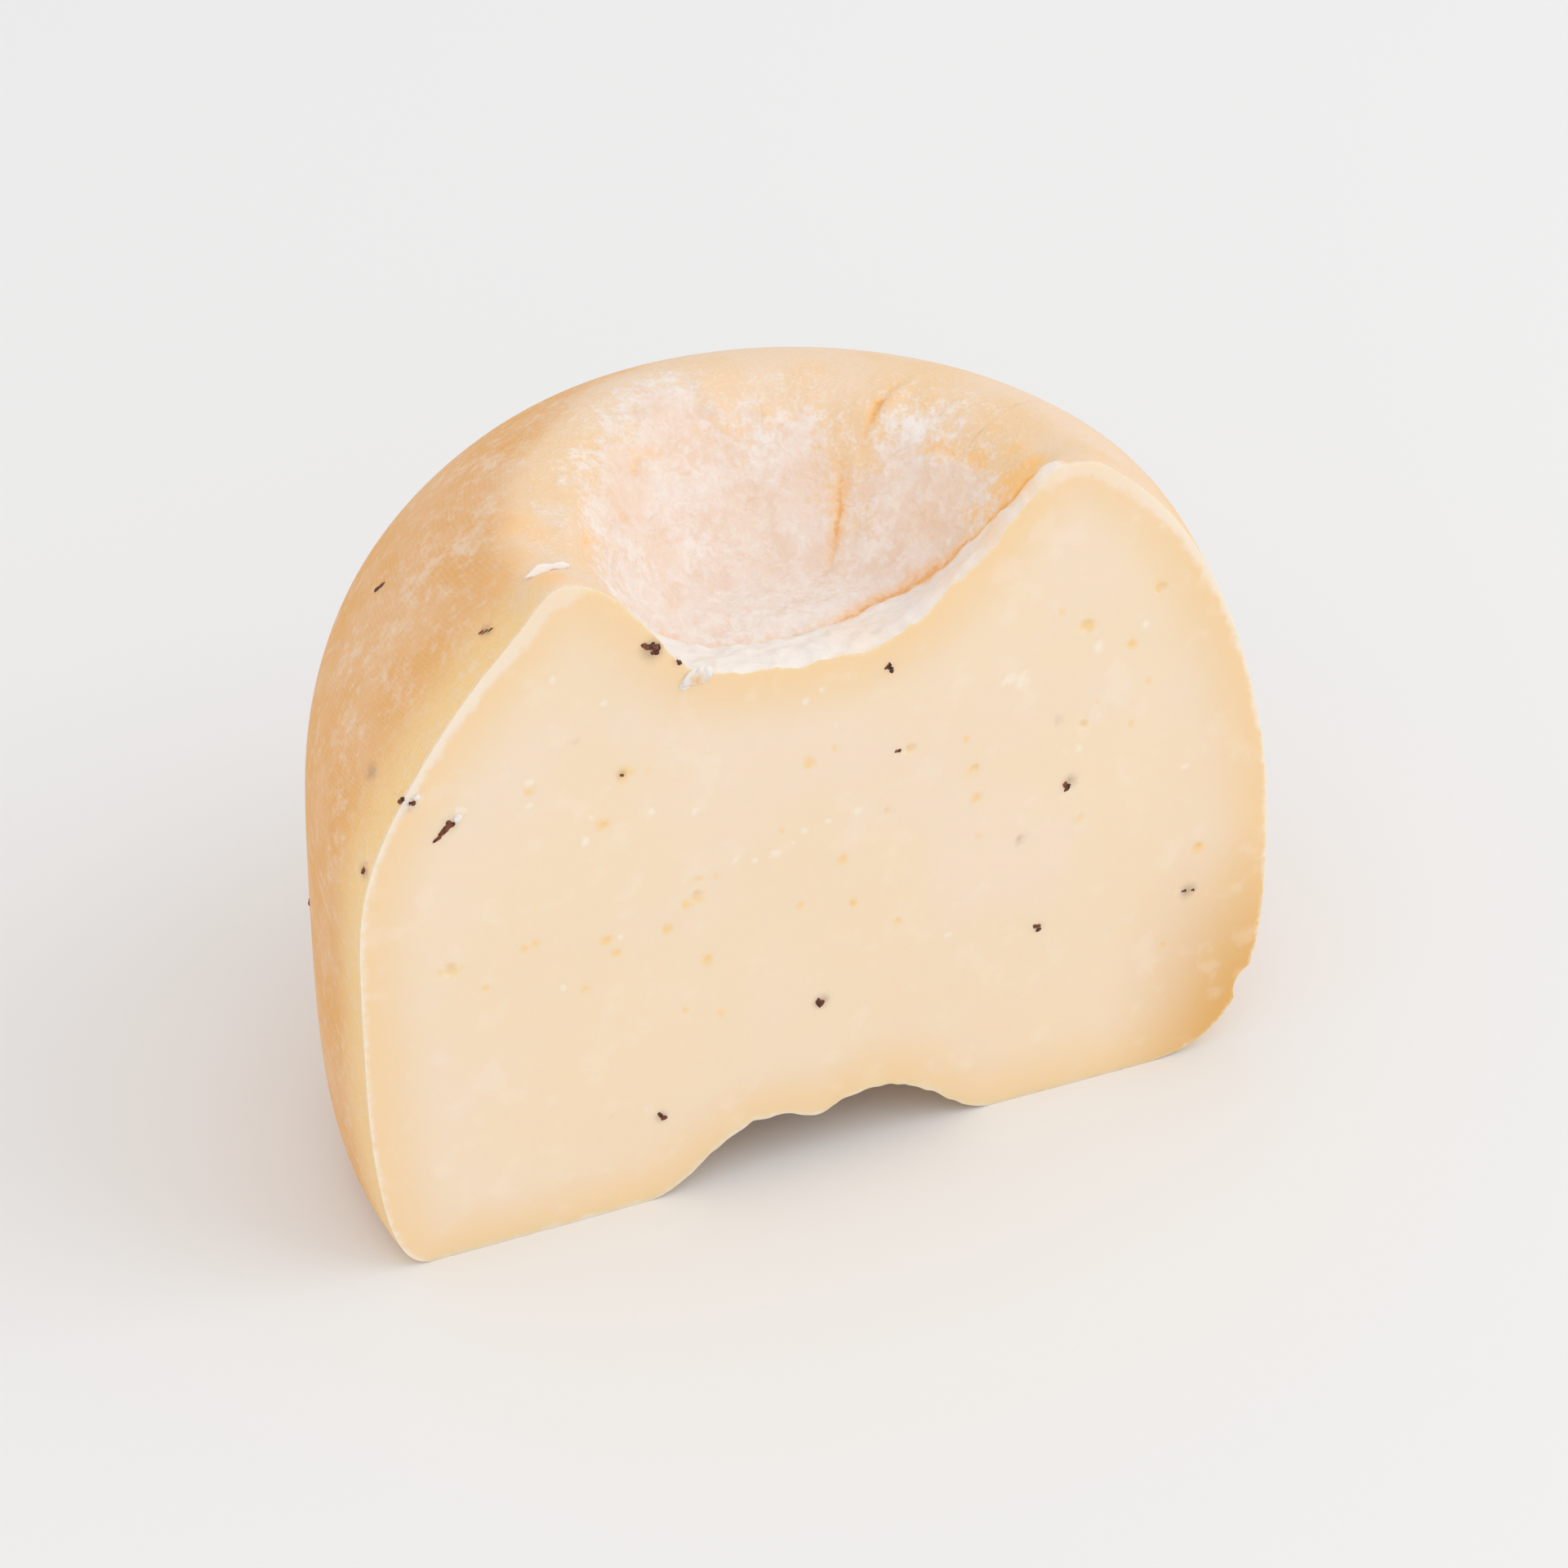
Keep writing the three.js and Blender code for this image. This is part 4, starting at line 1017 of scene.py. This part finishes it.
def pasteMaterial():
    # firm sheep's cheese cut with a knife: fine, slightly see-through and waxy, with a satin sheen
    look = pasteLook
    mat, tree, skin = newMaterial("KnifeCutCheese", {
        "Roughness": 0.55, "IOR": 1.44, "Specular IOR Level": 0.3,
        "Subsurface Weight": 0.3, "Subsurface Radius": (1.0, 0.55, 0.25), "Subsurface Scale": 2.5 * mm})
    place = node(tree, "TexCoord", output="Object")
    read = {name: node(tree, "Attribute", output="Fac", attribute_name=name)
            for name in ("edge", "amberAndShade", "golden", "pale", "halo", "rindLineAndHighlight", "lineAndHighlightStrength")}
    wide, middle, small, fine = (  # lumps in millimetres, and detail
        node(tree, "TexNoise", {"Vector": place, "Scale": 1 / (size * mm), "Detail": detail})
        for size, detail in ((20, 2), (4, 3), (1.4, 3), (0.6, 2)))
    wobble = node(tree, "Math", {0: fine, 1: 0.5, 2: small}, **plusTimes)  # about 0.75 on the whole

    # golden spots: painted warm shade and glow of light scattered inside the eyes
    smeared = node(tree, "Math", {0: wobble, 1: 3.4, 2: read["golden"]}, **plusTimes)
    smeared = node(tree, "Math", {0: middle, 1: 3.0, 2: smeared}, **plusTimes)
    curdy = node(tree, "Math", {0: wobble, 1: 3.0, 2: read["pale"]}, **plusTimes)
    stained = node(tree, "Math", {0: wobble, 1: 0.15, 2: read["halo"]}, **plusTimes)
    # the pale line along the cut: partly the rind's own pale edge, partly a painted highlight on the rounded
    # edge
    frayed = node(tree, "Math", {0: wobble, 1: 1.6, 2: read["rindLineAndHighlight"]}, **plusTimes)
    colour = coated(tree, look["cream"], (
        (wide, 0.35, 0.65, 0.42, look["warm"]), (read["edge"], 8.5, 0.0, 0.55, look["nearRind"])))
    # amber: partly the golden right edge, partly painted shade and reflected orange light in the lower right
    # corner
    share = node(tree, "Math", {0: read["amberAndShade"], 1: 0.9}, **times)
    colour = node(tree, "Mix", {0: share, 6: colour, 7: look["amberAndShade"]}, **blend)
    colour = coated(tree, colour, (
        (middle, 0.55, 0.7, 0.2, look["pale"]),
        (smeared, 6.0, 3.6, 0.6, look["golden"]),
        (curdy, 3.9, 2.5, 0.65, look["pale"]),
        (stained, 0.2, 0.9, 0.7, look["halo"]),
        (frayed, 1.9, 0.8, read["lineAndHighlightStrength"], look["edge"])))
    tree.links.new(colour, skin.inputs["Base Color"])
    relief = node(tree, "Math", {0: fine, 1: 0.4, 2: middle}, **plusTimes)
    bump = node(tree, "Bump", {"Height": relief, "Strength": 0.3, "Distance": 0.15 * mm})
    tree.links.new(bump, skin.inputs["Normal"])
    return mat


truffleLook = {"dark": "#422e24", "brown": "#84492f", "vein": "#9a7560"}


def truffleMaterial():
    # shaved black truffle soaked by the cheese: nearly black flesh, veined and brown at its thin edges
    look = truffleLook
    mat, tree, skin = newMaterial("BlackTruffle", {"Roughness": 0.6, "IOR": 1.4, "Specular IOR Level": 0.3})
    place = node(tree, "TexCoord", output="Object")
    mottle = node(tree, "TexNoise", {"Vector": place, "Scale": 1 / (0.9 * mm), "Detail": 3})
    veined = {"Vector": place, "Scale": 1 / (0.35 * mm), "Detail": 3, "Distortion": 1.5}
    veins = node(tree, "TexNoise", veined)
    colour = coated(tree, look["dark"], (
        (mottle, 0.4, 0.65, 1.0, look["brown"]), (veins, 0.55, 0.7, 0.7, look["vein"])))
    tree.links.new(colour, skin.inputs["Base Color"])
    bump = node(tree, "Bump", {"Height": veins, "Strength": 0.6, "Distance": 0.1 * mm})
    tree.links.new(bump, skin.inputs["Normal"])
    return mat


# Cutting, and the pieces' finish

rind, paste, truffle = rindMaterial(), pasteMaterial(), truffleMaterial()
cheese.data.materials.append(rind)
shapeWheel(cheese)
print("wheel shaped")

blade = knifeBlock()
blade.data.materials.append(paste)
boolean(cheese, blade, "DIFFERENCE")
broken = pebble(chip["size"], chip["jitter"], chip["at"], detail=4)
broken.data.materials.append(paste)
boolean(cheese, broken, "DIFFERENCE")
print("cut", sum(len(p.vertices) - 2 for p in cheese.data.polygons), "triangles")

addPatterns(cheese)
pick(cheese)
bpy.ops.object.shade_smooth_by_angle(angle=math.radians(50))
cheese.name = "cheese"
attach(cheese, "root")
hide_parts("cheese_half")

crumbPiece = rindCrumbs()
crumbPiece.data.materials.append(rind)
for name, value in {"top": 1, "lip": 1, "edge": 9, "rindLineAndHighlight": 9, "groove": 9, "powder": 9}.items():
    setAttribute(crumbPiece, name, np.full(len(crumbPiece.data.vertices), value))
setAttribute(crumbPiece, "orange", patchStrength(getPlaces(crumbPiece), crumbs["orange"]))
pick(crumbPiece)
bpy.ops.object.shade_smooth()
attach(crumbPiece, "root")

flakePiece = truffleFlakes()
flakePiece.data.materials.append(truffle)
pick(flakePiece)
bpy.ops.object.shade_smooth()
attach(flakePiece, "root")
print("flakes and crumbs laid")

# Floor, light and camera

studio = {
    "floor": "#ededed",
    "floorSize": 6,  # metres
    "sky": 0.88,
    "seen": (-5.6, -30.5, 50.9),  # the point that the camera looks at, from the middle of the half's box
    "camera": (-193.1, -448.3, 364.4),
    "lens": 121,
    "lamps": [  # direction seen from above, height in degrees, size and distance in metres, watts
        {"name": "key", "towards": (0.876, -0.482), "rise": 36, "size": 1.1, "away": 1.3, "watts": 3.8},
        {"name": "fill", "towards": (-0.41, -0.912), "rise": 25, "size": 1.6, "away": 1.6, "watts": 2.7},
    ],
}

deselectAll()
bpy.ops.mesh.primitive_plane_add(size=studio["floorSize"])
floor = bpy.context.object
floor.name = "floor"
floorPaint = newMaterial("PaintedTable", {
    "Roughness": 0.9, "Specular IOR Level": 0.1, "Base Color": linear(studio["floor"])})[0]
floor.data.materials.append(floorPaint)

world = bpy.data.worlds.new("sky")
bpy.context.scene.world = world
world.use_nodes = True
world.node_tree.nodes["Background"].inputs["Color"].default_value = (1, 1, 1, 1)
world.node_tree.nodes["Background"].inputs["Strength"].default_value = studio["sky"]

seen = Vector(studio["seen"]) * mm
for lamp in studio["lamps"]:
    rise = math.radians(lamp["rise"])
    across, forward = lamp["towards"]
    towards = Vector((across * math.cos(rise), forward * math.cos(rise), math.sin(rise)))
    deselectAll()
    bpy.ops.object.light_add(type="AREA", location=seen + towards * lamp["away"])
    light = bpy.context.object
    light.name = lamp["name"]
    light.rotation_euler = towards.to_track_quat("Z", "Y").to_euler()
    light.data.size = lamp["size"]
    light.data.energy = lamp["watts"]

cameraAt = Vector(studio["camera"]) * mm
deselectAll()
bpy.ops.object.camera_add(location=cameraAt)
camera = bpy.context.object
camera.rotation_euler = (cameraAt - seen).to_track_quat("Z", "Y").to_euler()
camera.data.lens = studio["lens"]
camera.data.sensor_width = 36
bpy.context.scene.camera = camera
bpy.context.scene.view_settings.view_transform = "Standard"

print("ready")
